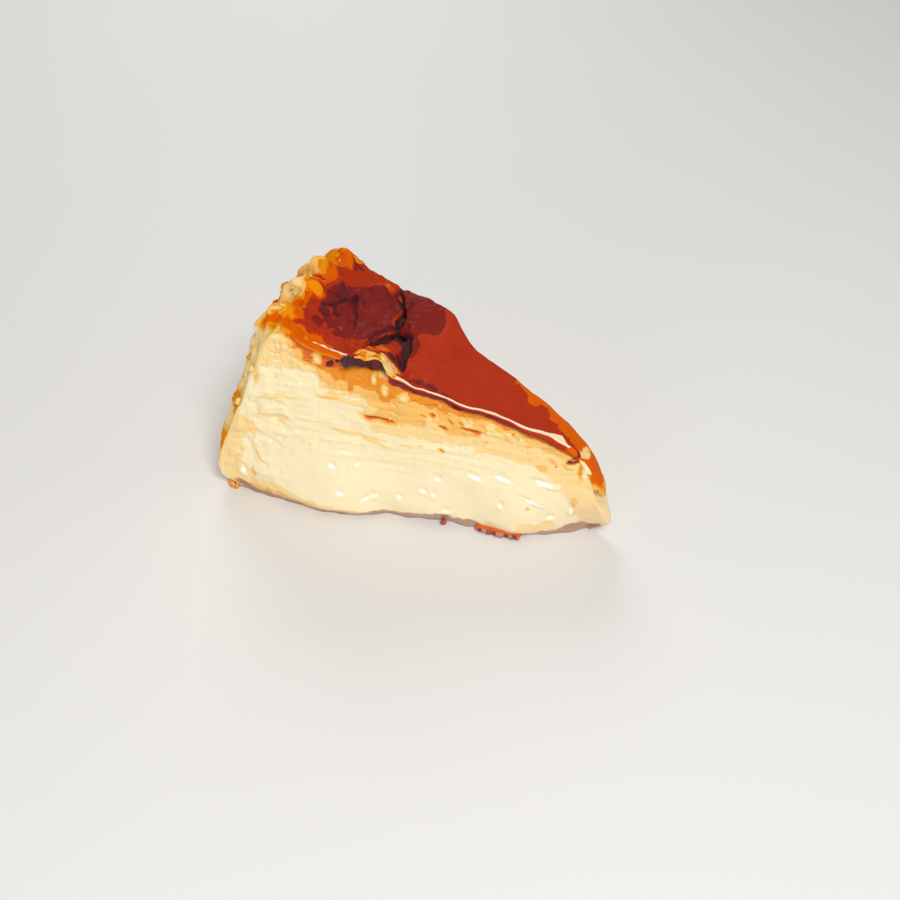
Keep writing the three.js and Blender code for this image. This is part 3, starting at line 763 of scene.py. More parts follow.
def custard_mesh(sizes):
    """The body under the skin: the two cut faces with their relief, the tip, and plain hidden sides."""
    t = np.linspace(0, 1, sizes.custard_steps + 1)
    high = 1 - (1 - np.linspace(0, 1, 123)) ** 1.3
    across = np.linspace(-1, 1, 11)
    sheets = [
        custard_part(sizes, t[:, None], -1.0, high[None, :]),
        custard_part(sizes, t[:, None], 1.0, high[None, :]),
        custard_part(sizes, 0.0, across[:, None], high[None, :]),
        custard_part(sizes, 1.0, across[:, None], high[None, :]),
        custard_part(sizes, t[:, None], across[None, :], 1.0),
        custard_part(sizes, t[:, None], across[None, :], 0.0),
    ]
    blocks, first = [], 0
    for points, fields in sheets:
        blocks.append(grid_faces(*points.shape[:2], first))
        first += points.shape[0] * points.shape[1]
    points = np.concatenate([points.reshape(-1, 3) for points, fields in sheets])
    attributes = {key: np.concatenate([fields[key].ravel() for _, fields in sheets]) for key in sheets[0][1]}
    return weld(points, blocks, attributes, "cut_custard")


def unit(v):
    return v / np.maximum(np.linalg.norm(v, axis=-1, keepdims=True), 1e-9)


def sheet_normals(points):
    """Upward unit normals of a grid: cross products of its two directions, each weighed with its neighbours
    so that they stay steady where the directions nearly meet."""
    normal = np.cross(unit(np.gradient(points, axis=1)), unit(np.gradient(points, axis=0)))
    for _ in range(3):
        wide = np.pad(normal, ((1, 1), (1, 1), (0, 0)), "edge")
        normal = 2 * normal + wide[:-2, 1:-1] + wide[2:, 1:-1] + wide[1:-1, :-2] + wide[1:-1, 2:]
    normal = unit(normal)
    return normal * np.sign(normal[normal.shape[0] // 2, normal.shape[1] // 2, 2])


def border_loop(rows, columns):
    """Numbers of the points round the border of a grid, once round."""
    grid = np.arange(rows * columns).reshape(rows, columns)
    return np.concatenate([grid[:-1, 0], grid[-1, :-1], grid[:0:-1, -1], grid[0, :0:-1]])


def closed_sheet(outer, normal, thickness, lip, core, fields, name):
    """Shuts an open grid of points into a solid sheet. Round its border run four rows that turn under in a
    half circle as thick as the sheet is there and reach lip beyond it. Under it lies a grid of every fourth
    point, core deep, and strips of triangles join its border to the last of the turned rows."""
    rows, columns = outer.shape[:2]
    i = np.clip(np.arange(-4, rows + 4), 0, rows - 1)
    k = np.clip(np.arange(-4, columns + 4), 0, columns - 1)
    along_rows = unit(np.gradient(outer, axis=0))
    sideways = unit(np.cross(normal, along_rows))
    sideways = sideways * np.sign(np.sum(sideways * np.gradient(outer, axis=1)))

    def spread(a):
        return a[i][:, k]

    base, up = spread(outer), spread(normal)
    step_i = np.arange(-4, rows + 4) - i
    step_k = np.arange(-4, columns + 4) - k
    out = unit(spread(along_rows) * step_i[:, None, None] + spread(sideways) * step_k[None, :, None])
    ring = np.maximum(np.abs(step_i)[:, None], np.abs(step_k)[None, :])
    turn = (ring * 0.22 * np.pi)[..., None]
    half = 0.5 * spread(thickness)[..., None]
    reach = half + spread(lip)[..., None]
    points = base + out * reach * np.sin(turn) - up * half * (1 - np.cos(turn))
    inner_up = up[::4, ::4]
    for _ in range(3):
        around = sum(np.roll(inner_up, step, axis) for axis in (0, 1) for step in (1, -1))
        inner_up = unit(inner_up + around)
    inner_up[[0, -1]] = up[::4, ::4][[0, -1]]
    inner_up[:, [0, -1]] = up[::4, ::4][:, [0, -1]]
    depth = spread(core)[::4, ::4][..., None]
    drawn_in = 0.9 * half[::4, ::4] * out[::4, ::4] * (ring[::4, ::4, None] > 0)
    inner = base[::4, ::4] - inner_up * depth - drawn_in
    m, n = points.shape[:2]
    inner_m, inner_n = inner.shape[:2]
    f = border_loop(m, n)
    c = border_loop(inner_m, inner_n) + m * n
    q = np.arange(len(c))
    f, c = np.append(f, f[0]), np.append(c, c[0])
    strips = (
        (f[4 * q], f[4 * q + 1], c[q]),
        (f[4 * q + 1], f[4 * q + 2], c[q]),
        (f[4 * q + 2], c[q + 1], c[q]),
        (f[4 * q + 2], f[4 * q + 3], c[q + 1]),
        (f[4 * q + 3], f[4 * q + 4], c[q + 1]),
    )
    blocks = [grid_faces(m, n), grid_faces(inner_m, inner_n, m * n)[:, ::-1]]
    blocks += [np.stack(corners, -1) for corners in strips]
    edge_tone = spread(fields["edge_tone"])
    at_edge = smoothstep(ring * np.minimum(np.abs(step_k)[None, :], 1), 1.2, 2.0) * (edge_tone > 0)
    browning = mix(spread(fields["browning"]), edge_tone, at_edge)
    # The painted edge highlight fades out over the rows that turn under
    gloss, painted_highlight = spread(fields["gloss"]), spread(fields["painted_edge_highlight"])
    attributes = {
        "browning": np.append(browning, browning[::4, ::4]),
        "gloss": np.append(gloss, gloss[::4, ::4]),
        "painted_edge_highlight": np.append(painted_highlight * (1 - smoothstep(ring, 0.5, 1.3)), 0 * painted_highlight[::4, ::4]),
    }
    both = np.concatenate([points.reshape(-1, 3), inner.reshape(-1, 3)])
    return weld(both, blocks, attributes, name)


def skin_surface(sizes):
    """The scorched skin's outer surface, one sheet that hangs over the tip, runs up the top, rolls over the
    rim and goes down the side: rows follow that path and columns run across the wedge. Its two bends are
    rounded by drawing each row towards the mean of its neighbours. Returns the points, and for each its
    distance from the apex, place along the path, place across, whether it is on the top, and how far it is
    from the cut edge."""
    drape = np.linspace(0, 1, 25)[:-1]
    top = np.linspace(1, 2, 269)[:-1]
    side = np.linspace(2, 3, 109)
    path = np.concatenate([drape, top, side])[:, None]
    u = np.linspace(-1, 1, 193)[None, :]
    across = np.sign(u) * (1 - (1 - np.abs(u)) ** 1.12)
    low = sizes.drape_low + 0.05 * noise(across * 2.3, 0.0, 0.0, 77) + 0.03 * noise(across * 7, 0.0, 0.0, 78)
    high = np.where(path < 1, mix(low, 1.0, path), mix(1.0, 0.01, np.clip(path - 2, 0, 1)))
    points, _, r, _ = slice_surface(np.clip(path - 1, 0, 1), across, high)
    near_bend = np.maximum(hump((path - 1) / 0.02), hump((path - 2) / 0.035))
    for _ in range(36):
        mean = 0.5 * (points[:-2] + points[2:])
        points[1:-1] += (0.5 * near_bend[1:-1])[..., None] * (mean - points[1:-1])
    path, across = np.broadcast_arrays(path, across)
    on_top = (path >= 1) & (path < 2)
    return points, (r, path, across, on_top, (1 - np.abs(across)) * HALF * r)


def skin_relief(points, places):
    """How far the skin's relief stands out: crumpled lumps on the rim's shoulder, wrinkles on the hump, a
    nearly smooth glaze towards the tip, paper pleats down the side, a lip raised along the torn side's
    edge, and the creases cut in sharply between lips."""
    r, path, across, on_top, edge = places
    down = np.clip(path - 2, 0, 1)
    shoulder = smoothstep(r + 2.5 * lumps(points, 5, 205, 2), 86, 95) * (1 - smoothstep(down, 0.10, 0.35))
    side = smoothstep(down, 0.05, 0.3)
    on_hump = smoothstep(r, 60, 68) * (1 - shoulder) * (1 - side)
    glaze = 1 - smoothstep(r, 56, 68)
    crumple = ridges(points, (5.2, 5.2, 4), 215, 2) - 0.62
    tight = mix(1, smoothstep(edge, 0.2, 4), smoothstep(path, 1.99, 2.04))
    out = shoulder * tight * (0.75 * lumps(points, 4.2, 210, 4) + 1.9 * crumple)
    wrinkle = ridges(points + 1.2 * lumps(points, 5, 222, 2)[..., None], (5.0, 3.0, 4), 220, 3) - 0.6
    out = out + on_hump * (1.0 * wrinkle + 0.22 * lumps(points, 1.7, 225, 3))
    out = out + glaze * (0.22 * lumps(points, 8, 230, 2) + 0.07 * lumps(points, 1.8, 233, 2))
    angle = across * 13 + 0.5 * noise(across * 4, points[..., 2] / 14, 0.0, 240)
    pleat = np.abs(noise(angle / 1.9, points[..., 2] / 60, 0.0, 241))
    out = out + side * tight * (1.2 * smoothstep(pleat, 0, 0.55) - 0.8 + 0.65 * lumps(points, 3.4, 245, 4))
    out = out - side * tight * 0.6 * smoothstep(lumps(points, 1.8, 250, 2), 0.75, 1.2)
    wander, _ = ragged(points, 260, 0.30, 0.12)
    deepen = on_top * (0.35 + 0.65 * smoothstep(edge, 0.5, 3))
    for line, half, depth in CREASES:
        gap = fold_distance(line, r, across) + wander
        out = out - deepen * depth * hump(gap / (0.9 * half))
        out = out + on_top * 0.45 * depth * hump((np.abs(gap) - 2.3 * half) / half)
    out = np.maximum(out, -DEEPEST_CREASE)
    out = out + on_top * 0.7 * hump((fold_distance(RIDGE, r, across) + 0.5 * wander) / 0.5)
    out = out + on_top * (across < 0) * along(EDGE_RISE, r) * hump(edge / 1.7)
    torn = hump((r - 70.5) / 6.5) * smoothstep(-across, 0.45, 0.9) * on_top
    out = out + torn * (0.22 * lumps(points, 1.8, 270, 2) + 0.25 * (ridges(points, 2.2, 275, 2) - 0.6))
    return out * smoothstep(points[..., 2], 0, 2.5)


def skin_browning(points, places):
    """How scorched the skin is: nearly black in the creases, which is painted shade, darker the deeper the
    crease, dark red-brown on the hump, plain red-brown on the glaze, orange along the far edge and over the
    tip, cream to orange where the rim's puckers shed it, and a pale highlight painted down the tip by the
    torn side."""
    r, path, across, on_top, edge = places
    z = points[..., 2]
    down = np.clip(path - 2, 0, 1)
    wander = lumps(points, 4.5, 300, 3)
    fine = lumps(points, 1.6, 310, 2)
    dr, dw = ragged(points, 320, 0.75, 0.40)
    r_ragged = r + dr
    across_ragged = across + dw / (HALF * np.maximum(r, 10))
    value = RED_BROWN + 0.010 * wander
    rimward = smoothstep(r_ragged + 1.2 * wander, 91, 92.4)
    value = mix(value, 0.625 + 0.07 * smoothstep(fine, 0.4, 0.8), rimward)
    outer = smoothstep(r_ragged + 1.0 * wander, 93.6, 95)
    value = mix(value, 0.47 + 0.10 * np.round(wander) + 0.06 * fine, outer)
    value = mix(value, ORANGE, smoothstep(across_ragged - along(FAR_ORANGE, r), -0.03, 0.05) * (r < 43))
    for tone, low, high in ZONES:
        zone = smoothstep(r + 0.5 * dr - along(low, across_ragged), -0.25, 0.25)
        zone = zone * (1 - smoothstep(r + 0.5 * dr - along(high, across_ragged), -0.25, 0.25))
        zone = zone * (across_ragged > low[0][0]) * on_top
        value = mix(value, tone - 0.08 * smoothstep(wander - fine, 1.1, 1.4), zone)
    for at, side, long, wide, tone in PATCHES:
        share = spot((r_ragged - at) / long, (across_ragged - side) * HALF * r_ragged / wide)
        value = mix(value, tone, share)
    bare = on_top * (across < 0) * smoothstep(r_ragged, 77.5, 78.5) * (1 - smoothstep(r_ragged, 91, 93))
    value = mix(value, 0.61, bare * (1 - smoothstep(edge + 0.3 * dw, 1.2, 1.5)))
    # Painted shade: each crease is darkened towards black-brown, the more the deeper it is
    for line, half, depth in CREASES:
        gap = fold_distance(line, r, across) + 0.35 * dr
        share = on_top * (1 - smoothstep(gap, 0.55 * half, 1.15 * half))
        value = mix(value, 0.92 + 0.055 * min(depth, 1.3), share)
    ridge = fold_distance(RIDGE, r, across) + 0.25 * dr
    value = mix(value, 0.66, on_top * hump(ridge / 0.5) ** 2 * smoothstep(fine, -0.9, -0.2))
    crust = 0.42 + 0.13 * np.round(1.3 * wander) + 0.07 * fine + 0.10 * (1 - smoothstep(down, 0.1, 0.5))
    pale = 0.20 + 0.10 * np.round(wander) + 0.04 * fine
    band = smoothstep(-across_ragged, 0.60, 0.72)
    band = band * np.maximum(spot((z - 17) / 5, 0), spot((z - 30) / 3.5, 0))
    crust = mix(crust, pale, smoothstep(-across_ragged, 0.66, 0.74))
    value = mix(value, mix(crust, 0.50, band), smoothstep(down + 0.03 * wander, 0.02, 0.08))
    value = np.where(path < 1, mix(0.46, ORANGE, smoothstep(path + 0.22 * fine, 0.10, 0.42)), value)
    # Painted highlight: a pale streak down the tip's drape by the torn side, like the highlight along the
    # edge
    return np.where((path < 0.87) & (path > 0.47) & (across < -0.72), 0.14, value)


def skin_edge_highlight(places):
    """1 along the torn side's edge of the skin, where a pale highlight is painted on its raised lip."""
    r, path, across, on_top, edge = places
    start = along([(d, inner) for d, inner, width in EDGE_HIGHLIGHT], r)
    width = along([(d, width) for d, inner, width in EDGE_HIGHLIGHT], r)
    wobble = 0.18 * lumps(np.stack([r, across * 3, r * 0], -1), 2.2, 330, 2)
    inside = edge + wobble - start
    line = 1 - smoothstep(inside - width, -0.08, 0.08)
    return on_top * (across < 0) * line * np.where(start > 0, smoothstep(inside, -0.08, 0.08), 1)


def skin_mesh(sizes):
    """The scorched skin as a closed sheet, thin at the cut edges and thicker inside, where nobody sees."""
    points, places = skin_surface(sizes)
    r, path, across, on_top, edge = places
    normal = sheet_normals(points)
    browning = skin_browning(points, places)
    points = points + skin_relief(points, places)[..., None] * normal
    points[..., 2] = np.maximum(points[..., 2], 0.05)
    gloss = (1 - smoothstep(r, 74, 92)) * (path < 2)
    gloss = np.clip(gloss * (0.8 + 0.3 * lumps(points, 6, 340, 2)), 0, 1)
    lip = mix(sizes.skin_lip, -0.16, smoothstep(path, 1.97, 2.06)) * smoothstep(path, 0.95, 1.05) + 0.05
    lip = lip * (1 - 0.6 * smoothstep(r, 86, 94)) * smoothstep(r, 17, 24) - 0.35 * hump((path - 1) / 0.06)
    inward = np.minimum(edge, 6) * np.clip(path / 0.5, 0, 1) * np.clip((3 - path) / 0.1, 0, 1)
    torn = smoothstep(r, 64.6, 66) * (1 - smoothstep(r, 77, 79)) * smoothstep(-across, 0.5, 0.8) * (path < 2)
    thickness = sizes.skin_thickness * mix(mix(1.0, 0.38, torn), 0.35, smoothstep(path, 1.95, 2.05))
    raised = along(EDGE_RISE, r) * (across < 0) * on_top
    thickness = thickness + 0.75 * raised * (1 - smoothstep(r, 28, 36))
    edge_tone = np.where(r < 65.4, mix(0.76, DARK_BROWN, smoothstep(r, 22, 36)), 0.56)
    edge_tone = edge_tone * ((r < 65.4) | (r > 79)) * (r > 20) * (r < 90) * on_top
    # A pale highlight painted along the torn side's raised lip
    painted_highlight = skin_edge_highlight(places)
    fields = {"browning": browning, "gloss": gloss, "painted_edge_highlight": painted_highlight, "edge_tone": edge_tone}
    return closed_sheet(points, normal, thickness, lip, thickness + 0.25 * inward, fields, "scorched_skin")


def flap_mesh():
    """The flap of torn skin that hangs over the hollow: a ruled sheet from the top edge down to its own lower
    edge, standing further out the lower it hangs, rumpled by noise and closed like the skin."""
    d = np.linspace(65.4, 74.8, 93)[:, None]
    down = np.linspace(0, 1, 25)[None, :]
    nose, rim = NOSE_PROFILE[-1][1], SIDE_PROFILE[-1][1] - CORNER_LOSS
    t = np.clip((1.04 * (d - 62) + 61.2 - nose) / (rim - nose), 0, 1)
    top = slice_surface(t, -0.99, 1.0)[0]
    low = top[..., 2] - along(FLAP_HANG, d)
    low = low + 0.14 * noise(d / 0.9, 0.0, 0.0, 400) + 0.08 * noise(d / 0.4, 0.0, 0.0, 401)
    points = np.repeat(top, down.shape[1], axis=1)
    points[..., 2] = mix(top[..., 2] + 0.15, low, down)
    stand = -0.4 + 1.0 * np.sin(0.5 * np.pi * down) * np.sqrt(hump((d - 71) / 6.4))
    stand = stand + 0.25 * lumps(points, 1.9, 410, 2) * smoothstep(down, 0, 0.3)
    points = points + stand[..., None] * face_normal(-1)
    rag = 0.8 * lumps(points, 1.8, 420, 3)
    browning = mix(0.37, DEEP_AMBER, spot((d + 0.4 * rag - 72.2) / 0.9, 0))
    browning = mix(browning, 0.27, 1 - smoothstep(d + rag, 67.2, 68.2))

    def even(value):
        return np.full(browning.shape, value)

    fields = {"browning": browning, "gloss": even(0.35), "painted_edge_highlight": even(0.0), "edge_tone": even(0.0)}
    return closed_sheet(points, sheet_normals(points), even(0.5), even(0.05), even(0.7), fields, "torn_flap")


def lump_template(rows, columns):
    """Directions of a ball's points, closed poles with rings between them, and its blocks of faces."""
    theta = np.linspace(0, np.pi, rows)[1:-1, None]
    phi = np.linspace(0, 2 * np.pi, columns, endpoint=False)
    ring = [np.sin(theta) * np.cos(phi), np.sin(theta) * np.sin(phi), np.cos(theta) + 0 * phi]
    points = np.vstack([[[0, 0, 1.0]], np.stack(ring, -1).reshape(-1, 3), [[0, 0, -1.0]]])
    k = np.arange(columns)
    after = (k + 1) % columns
    row = 1 + np.arange(rows - 3)[:, None] * columns
    sides = np.stack([row + k, row + columns + k, row + columns + after, row + after], -1).reshape(-1, 4)
    last = 1 + (rows - 3) * columns
    first_cap = np.stack([0 * k, 1 + k, 1 + after], -1)
    last_cap = np.stack([last + k, 0 * k + len(points) - 1, last + after], -1)
    return points, [sides, first_cap, last_cap]


def scattered_lumps(centres, radii, browning, seed, squash=1.0, rows=7, columns=10):
    """Uneven crumbs: each is a ball whose points move in and out by noise round its own place. Returns their
    points, blocks of faces and tones."""
    directions, blocks = lump_template(rows, columns)
    rng = np.random.default_rng(seed)
    count = len(centres)
    turns, _ = np.linalg.qr(rng.normal(size=(count, 3, 3)))
    stretch = rng.uniform(0.65, 1.2, (count, 1, 3)) * squash
    far = rng.uniform(0, 500, (count, 1, 3))
    bumpy = 1 + 0.30 * noise(*np.moveaxis(directions[None] * 1.7 + far, -1, 0), seed)
    bumpy = bumpy + 0.12 * noise(*np.moveaxis(directions[None] * 4.1 + far, -1, 0), seed + 1)
    local = directions[None] * bumpy[..., None] * stretch
    points = centres[:, None, :] + radii[:, None, None] * np.einsum("nij,nkj->nki", turns, local)
    first = np.arange(count)[:, None, None] * len(directions)
    blocks = [(first + block).reshape(-1, block.shape[1]) for block in blocks]
    return points.reshape(-1, 3), blocks, np.repeat(browning, len(directions))


def joined(points, blocks, more_points, more_blocks):
    """Two parts in one: the second's faces count on from the first's points."""
    return np.vstack([points, more_points]), blocks + [block + len(points) for block in more_blocks]


def crumb_places(sizes):
    """Where crumbs cling: over the rim's shoulder and side, along the top and rim edges of the cut faces, and
    a few on the foot. Each is sunk into the surface it clings to."""
    rng = np.random.default_rng(sizes.seed)
    clusters = []

    def cling(t, across, high, size, tone, out, direction):
        points = slice_surface(t, across, high)[0] + (out * size)[:, None] * np.asarray(direction)
        clusters.append((points, size, tone))

    n = sizes.crumbs // 2
    across = rng.uniform(-1, 1, n)
    t = rng.uniform(0.93, 1.0, n)
    size = 0.30 + 0.55 * rng.random(n) ** 3
    tone = rng.choice([0.3, 0.4, 0.5, 0.6], n)
    cling(t, across, 1.0, size, tone, -0.1, (0, 0, 1.0))
    high = rng.uniform(0.08, 0.9, n)
    size = 0.35 + 0.8 * rng.random(n) ** 3
    cling(1.0, rng.uniform(-1, 1, n), high, size, tone, 0.1, (-1.0, 0, 0))
    for side in (-1.0, 1.0):
        n = int(0.25 * sizes.crumbs)
        t = 1 - 0.10 * rng.random(n) ** 2
        high = rng.uniform(0.12, 0.97, n)
        size = 0.2 + 0.4 * rng.random(n) ** 3
        cling(t, side, high, size, rng.choice([0.10, 0.2, 0.3, 0.42], n), -0.15, face_normal(side))
        n = int(0.5 * sizes.crumbs)
        t = rng.uniform(0.1, 0.97, n)
        high = 1 - (0.075 + 0.2 * rng.random(n) ** 1.5)
        size = 0.22 + 0.35 * rng.random(n) ** 3
        cling(t, side, high, size, rng.choice([0.24, 0.36, 0.46, 0.54], n), -0.2, face_normal(side))
    centres, radii, tones = (np.concatenate(part) for part in zip(*clusters))
    centres[:, 2] = np.maximum(centres[:, 2], 0.75 * radii)
    return centres, radii, tones


def crumb_mesh(sizes):
    """The clinging crumbs, and a large one on the corner where the torn face meets the side."""
    centres, radii, tones = crumb_places(sizes)
    corner = slice_surface(1.0, -1.0, 0.755)[0] + beside_face(0.75, 0.0, 0.0)
    centres, radii, tones = np.vstack([centres, corner]), np.append(radii, 1.15), np.append(tones, PALE_AMBER)
    points, blocks, browning = scattered_lumps(centres, radii, tones, sizes.seed + 1)
    return weld(points, blocks, {"browning": browning, "wet": 0 * browning}, "crumbs")


def rod(d, out, height, wide, tall, round_steps, seed, rough):
    """A lumpy rod beside the torn face: round each of its places runs an oval, wide across and tall up, made
    uneven by noise. The ends shrink to points. Returns points, faces and the turn of each point."""
    turn = np.linspace(0, 2 * np.pi, round_steps, endpoint=False)[None, :]
    d, out, height, wide, tall, rough = (
        np.asarray(a, float)[..., None] for a in (d, out, height, wide, tall, rough)
    )
    lump = 1 + rough * noise(d / 1.3, np.cos(turn), np.sin(turn), seed)
    lump = lump + 0.5 * rough * noise(d / 0.6, 2 * np.cos(turn), 2 * np.sin(turn), seed + 1)
    points = beside_face(d, out + wide * lump * np.cos(turn), height + tall * lump * np.sin(turn))
    i = np.arange(len(d) - 1)[:, None] * round_steps
    k = np.arange(round_steps)[None, :]
    after = (k + 1) % round_steps
    faces = np.stack([i + k, i + after, i + round_steps + after, i + round_steps + k], -1).reshape(-1, 4)
    return points.reshape(-1, 3), [faces], turn + 0 * d


def syrup_and_shade_mesh(sizes):
    """Burnt syrup that fills the hollow under the torn skin, dark so that it also stands in for the opening's
    shade: one smooth rod of beads run together, and two loose beads beside it."""
    at, long, high = SYRUP_BALL
    u = np.linspace(0, 1, 131)
    d = mix(at + long, 66.3, 0.5 - 0.5 * np.cos(np.pi * u))
    ball = high * np.sqrt(np.clip(1 - ((d - at) / long) ** 2, 0, 1))
    neck = along(SYRUP_SHADE_TALL, -d) * (1 - smoothstep(d, at - 1, at + 0.4))
    taper = np.sqrt(np.clip(1 - ((72.4 - d) / 6.1) ** 12, 0, 1)) * (d < 72.4) + (d >= 72.4)
    tall = np.maximum(ball, neck * taper)
    rough = 0.13 * (1 - smoothstep(d, at - 2.4, at - 1.2))
    out, height = along(SYRUP_SHADE_OUT, -d), along(SYRUP_SHADE_HEIGHT, -d)
    points, blocks, turn = rod(d, out, height, 0.9 * tall, tall, 32, 530, rough)
    beside, height, out, radius = np.array(LOOSE_BEADS).T
    beads, bead_blocks, bead_tone = scattered_lumps(
        beside_face(beside, out, height), radius, np.full(2, BLACK_BROWN), sizes.seed + 5, 1.0, 15, 22
    )
    points, blocks = joined(points, blocks, beads, bead_blocks)
    browning = np.append(np.repeat(mix(BLACK_BROWN, 0.92, spot((d - 68.9) / 1.0, 0)), 32), bead_tone)
    wet = np.append(np.repeat(0.15 + 0.85 * smoothstep(d, at - 2, at - 1), 32), 0.7 + 0 * bead_tone)
    return weld(points, blocks, {"browning": browning, "wet": wet}, "syrup_and_shade")


def foot_strip():
    """A browned rim of custard that peeps out from under the foot: a rough flat rod along it, orange, with
    dark and tan blocks on the side that shows. Returns points, faces, tones and how tan they are."""
    u = np.linspace(0, 1, 121)
    d = mix(41.6, 28.4, 0.5 - 0.5 * np.cos(np.pi * u))
    taper = np.sqrt(np.clip(1 - (2 * (41.6 - d) / 13.2 - 1) ** 12, 0, 1))
    out = mix(3.4, 2.1, (d - 28.4) / 13.2)
    points, blocks, turn = rod(d, out, 0 * d + 0.85, 1.7 * taper, 0.95 * taper, 22, 500, 0.34)
    wavy = d[:, None] + 0.4 * noise(d[:, None], np.cos(turn), 0.0, 505)
    facing = (np.cos(turn) > 0.1) & (np.sin(turn) < 0.62)
    dark, tan = (
        np.clip(sum(spot((wavy - at) / long, 0) for at, long in marks) * facing, 0, 1)
        for marks in (FOOT_DARKS, FOOT_TANS)
    )
    return points, blocks, mix(ORANGE, 0.88, dark).ravel(), tan.ravel()


def foot_bit_mesh(sizes):
    """Browned bits that peep out from under the foot: flat uneven lumps on the ground, and the long strip."""
    d, out, height, radius, tone = np.array(FOOT_BITS).T
    squash = np.array([1.25, 1.0, 0.7])
    centres = beside_face(d, out, 0.55 * height)
    points, blocks, browning = scattered_lumps(centres, radius, tone, sizes.seed + 9, squash, 11, 16)
    strip, strip_blocks, strip_tone, tan = foot_strip()
    points, blocks = joined(points, blocks, strip, strip_blocks)
    foot = np.append(0 * browning, tan)
    browning = np.append(browning, strip_tone)
    points[:, 2] = np.maximum(points[:, 2], 0.02 + 0.01 * np.sin(points[:, 0] * 3))
    wet = np.full_like(browning, 0.3)
    return weld(points, blocks, {"browning": browning, "wet": wet, "foot": foot}, "foot_bits")


def linear(colour):
    """A screen colour from 0 to 255 as the linear values that shaders take."""
    c = np.array(colour, float) / 255
    return tuple(np.where(c <= 0.04045, c / 12.92, ((c + 0.055) / 1.055) ** 2.4)) + (1.0,)


def new_node(tree, kind, x, y, **values):
    node = tree.nodes.new(kind)
    node.location = (x, y)
    for key, value in values.items():
        setattr(node, key, value)
    return node


def feed(tree, socket, value):
    """Sets a socket to a fixed value, or links the output of another node to it."""
    if isinstance(value, bpy.types.NodeSocket):
        tree.links.new(value, socket)
    else:
        socket.default_value = value


def maths(tree, operation, x, y, *inputs):
    """A Math node whose inputs are numbers or the outputs of other nodes."""
    node = new_node(tree, "ShaderNodeMath", x, y, operation=operation)
    for socket, value in zip(node.inputs, inputs):
        feed(tree, socket, value)
    return node.outputs[0]


def filled_node(tree, kind, x, y, inputs, **values):
    """A node of a kind with its inputs fed by name."""
    node = new_node(tree, kind, x, y, **values)
    for key, value in inputs.items():
        feed(tree, node.inputs[key], value)
    return node.outputs


def noise_node(tree, x, y, scale, detail, roughness, place):
    inputs = {"Scale": scale, "Detail": detail, "Roughness": roughness, "Vector": place}
    return filled_node(tree, "ShaderNodeTexNoise", x, y, inputs)["Fac"]


def new_group(name, inputs, output, kind):
    """An empty node group with named numbers as inputs and one output. Returns it, its inputs as outputs of a
    node, the socket of its output, and Object coordinates."""
    group = bpy.data.node_groups.new(name, "ShaderNodeTree")
    for key, value in inputs.items():
        socket = group.interface.new_socket(key, in_out="INPUT", socket_type="NodeSocketFloat")
        socket.default_value = value
    group.interface.new_socket(output, in_out="OUTPUT", socket_type=kind)
    source = new_node(group, "NodeGroupInput", -1100, 0)
    sink = new_node(group, "NodeGroupOutput", 500, 0)
    place = new_node(group, "ShaderNodeTexCoord", -1100, -300).outputs["Object"]
    return group, source.outputs, sink.inputs[output], place


def browning_group(colours):
    """Baking colours: a browning value, made ragged by noise in two sizes, looked up in a row of colours that
    each hold for a while and then change quickly, as the surface of a baked custard does."""
    inputs = {"Browning": 0.0, "Patch size": 420.0, "Patchiness": 0.08, "Speck size": 2600.0, "Speckle": 0.03}
    group, given, colour, place = new_group("Baking colours", inputs, "Colour", "NodeSocketColor")
    total = given["Browning"]
    layers = (("Patch size", "Patchiness", 4), ("Speck size", "Speckle", 2))
    for n, (size, amount, detail) in enumerate(layers):
        uneven = noise_node(group, -850, -260 * n, given[size], detail, 0.62, place)
        centred = maths(group, "SUBTRACT", -640, -260 * n, uneven, 0.5)
        share = maths(group, "MULTIPLY", -460, -260 * n, centred, given[amount])
        share = maths(group, "MULTIPLY", -370, -260 * n, share, 2.0)
        total = maths(group, "ADD", -280, -120 * n, total, share)
    ramp = new_node(group, "ShaderNodeValToRGB", 60, 80)
    stops = ramp.color_ramp.elements
    while len(stops) > 1:
        stops.remove(stops[-1])
    stops[0].position = 0.0
    stops[0].color = linear(getattr(colours, PALETTE[0][0]))
    for name, middle, hold in PALETTE:
        for position in (middle - hold, middle + hold):
            stops.new(position).color = linear(getattr(colours, name))
    feed(group, ramp.inputs["Fac"], total)
    feed(group, colour, ramp.outputs["Color"])
    return group


def crumb_group():
    """Crumb relief: the height of fine crumbs and pores, softer where the surface is wet."""
    inputs = {"Wetness": 0.0, "Crumb size": 1500.0, "Pore size": 900.0}
    group, given, height, place = new_group("Crumb relief", inputs, "Height", "NodeSocketFloat")
    fine = noise_node(group, -850, 100, given["Crumb size"], 5, 0.65, place)
    inputs = {"Scale": given["Pore size"], "Vector": place}
    cells = filled_node(group, "ShaderNodeTexVoronoi", -850, -200, inputs, feature="F1")
    inputs = {"Value": cells["Distance"], "From Min": 0.10, "From Max": 0.30}
    pores = filled_node(group, "ShaderNodeMapRange", -640, -200, inputs, interpolation_type="SMOOTHSTEP")
    pores = maths(group, "MULTIPLY", -540, -200, pores["Result"], 0.35)
    damp = maths(group, "MULTIPLY", -740, 300, given["Wetness"], 0.85)
    dry = maths(group, "SUBTRACT", -640, 300, 1.0, damp)
    both = maths(group, "ADD", -440, 0, fine, pores)
    feed(group, height, maths(group, "MULTIPLY", -340, 0, both, dry))
    return group


def attribute_node(tree, name, x, y):
    return new_node(tree, "ShaderNodeAttribute", x, y, attribute_name=name).outputs["Fac"]


def group_node(tree, group, x, y, inputs):
    node = new_node(tree, "ShaderNodeGroup", x, y)
    node.node_tree = group
    for key, value in inputs.items():
        feed(tree, node.inputs[key], value)
    return node.outputs[0]


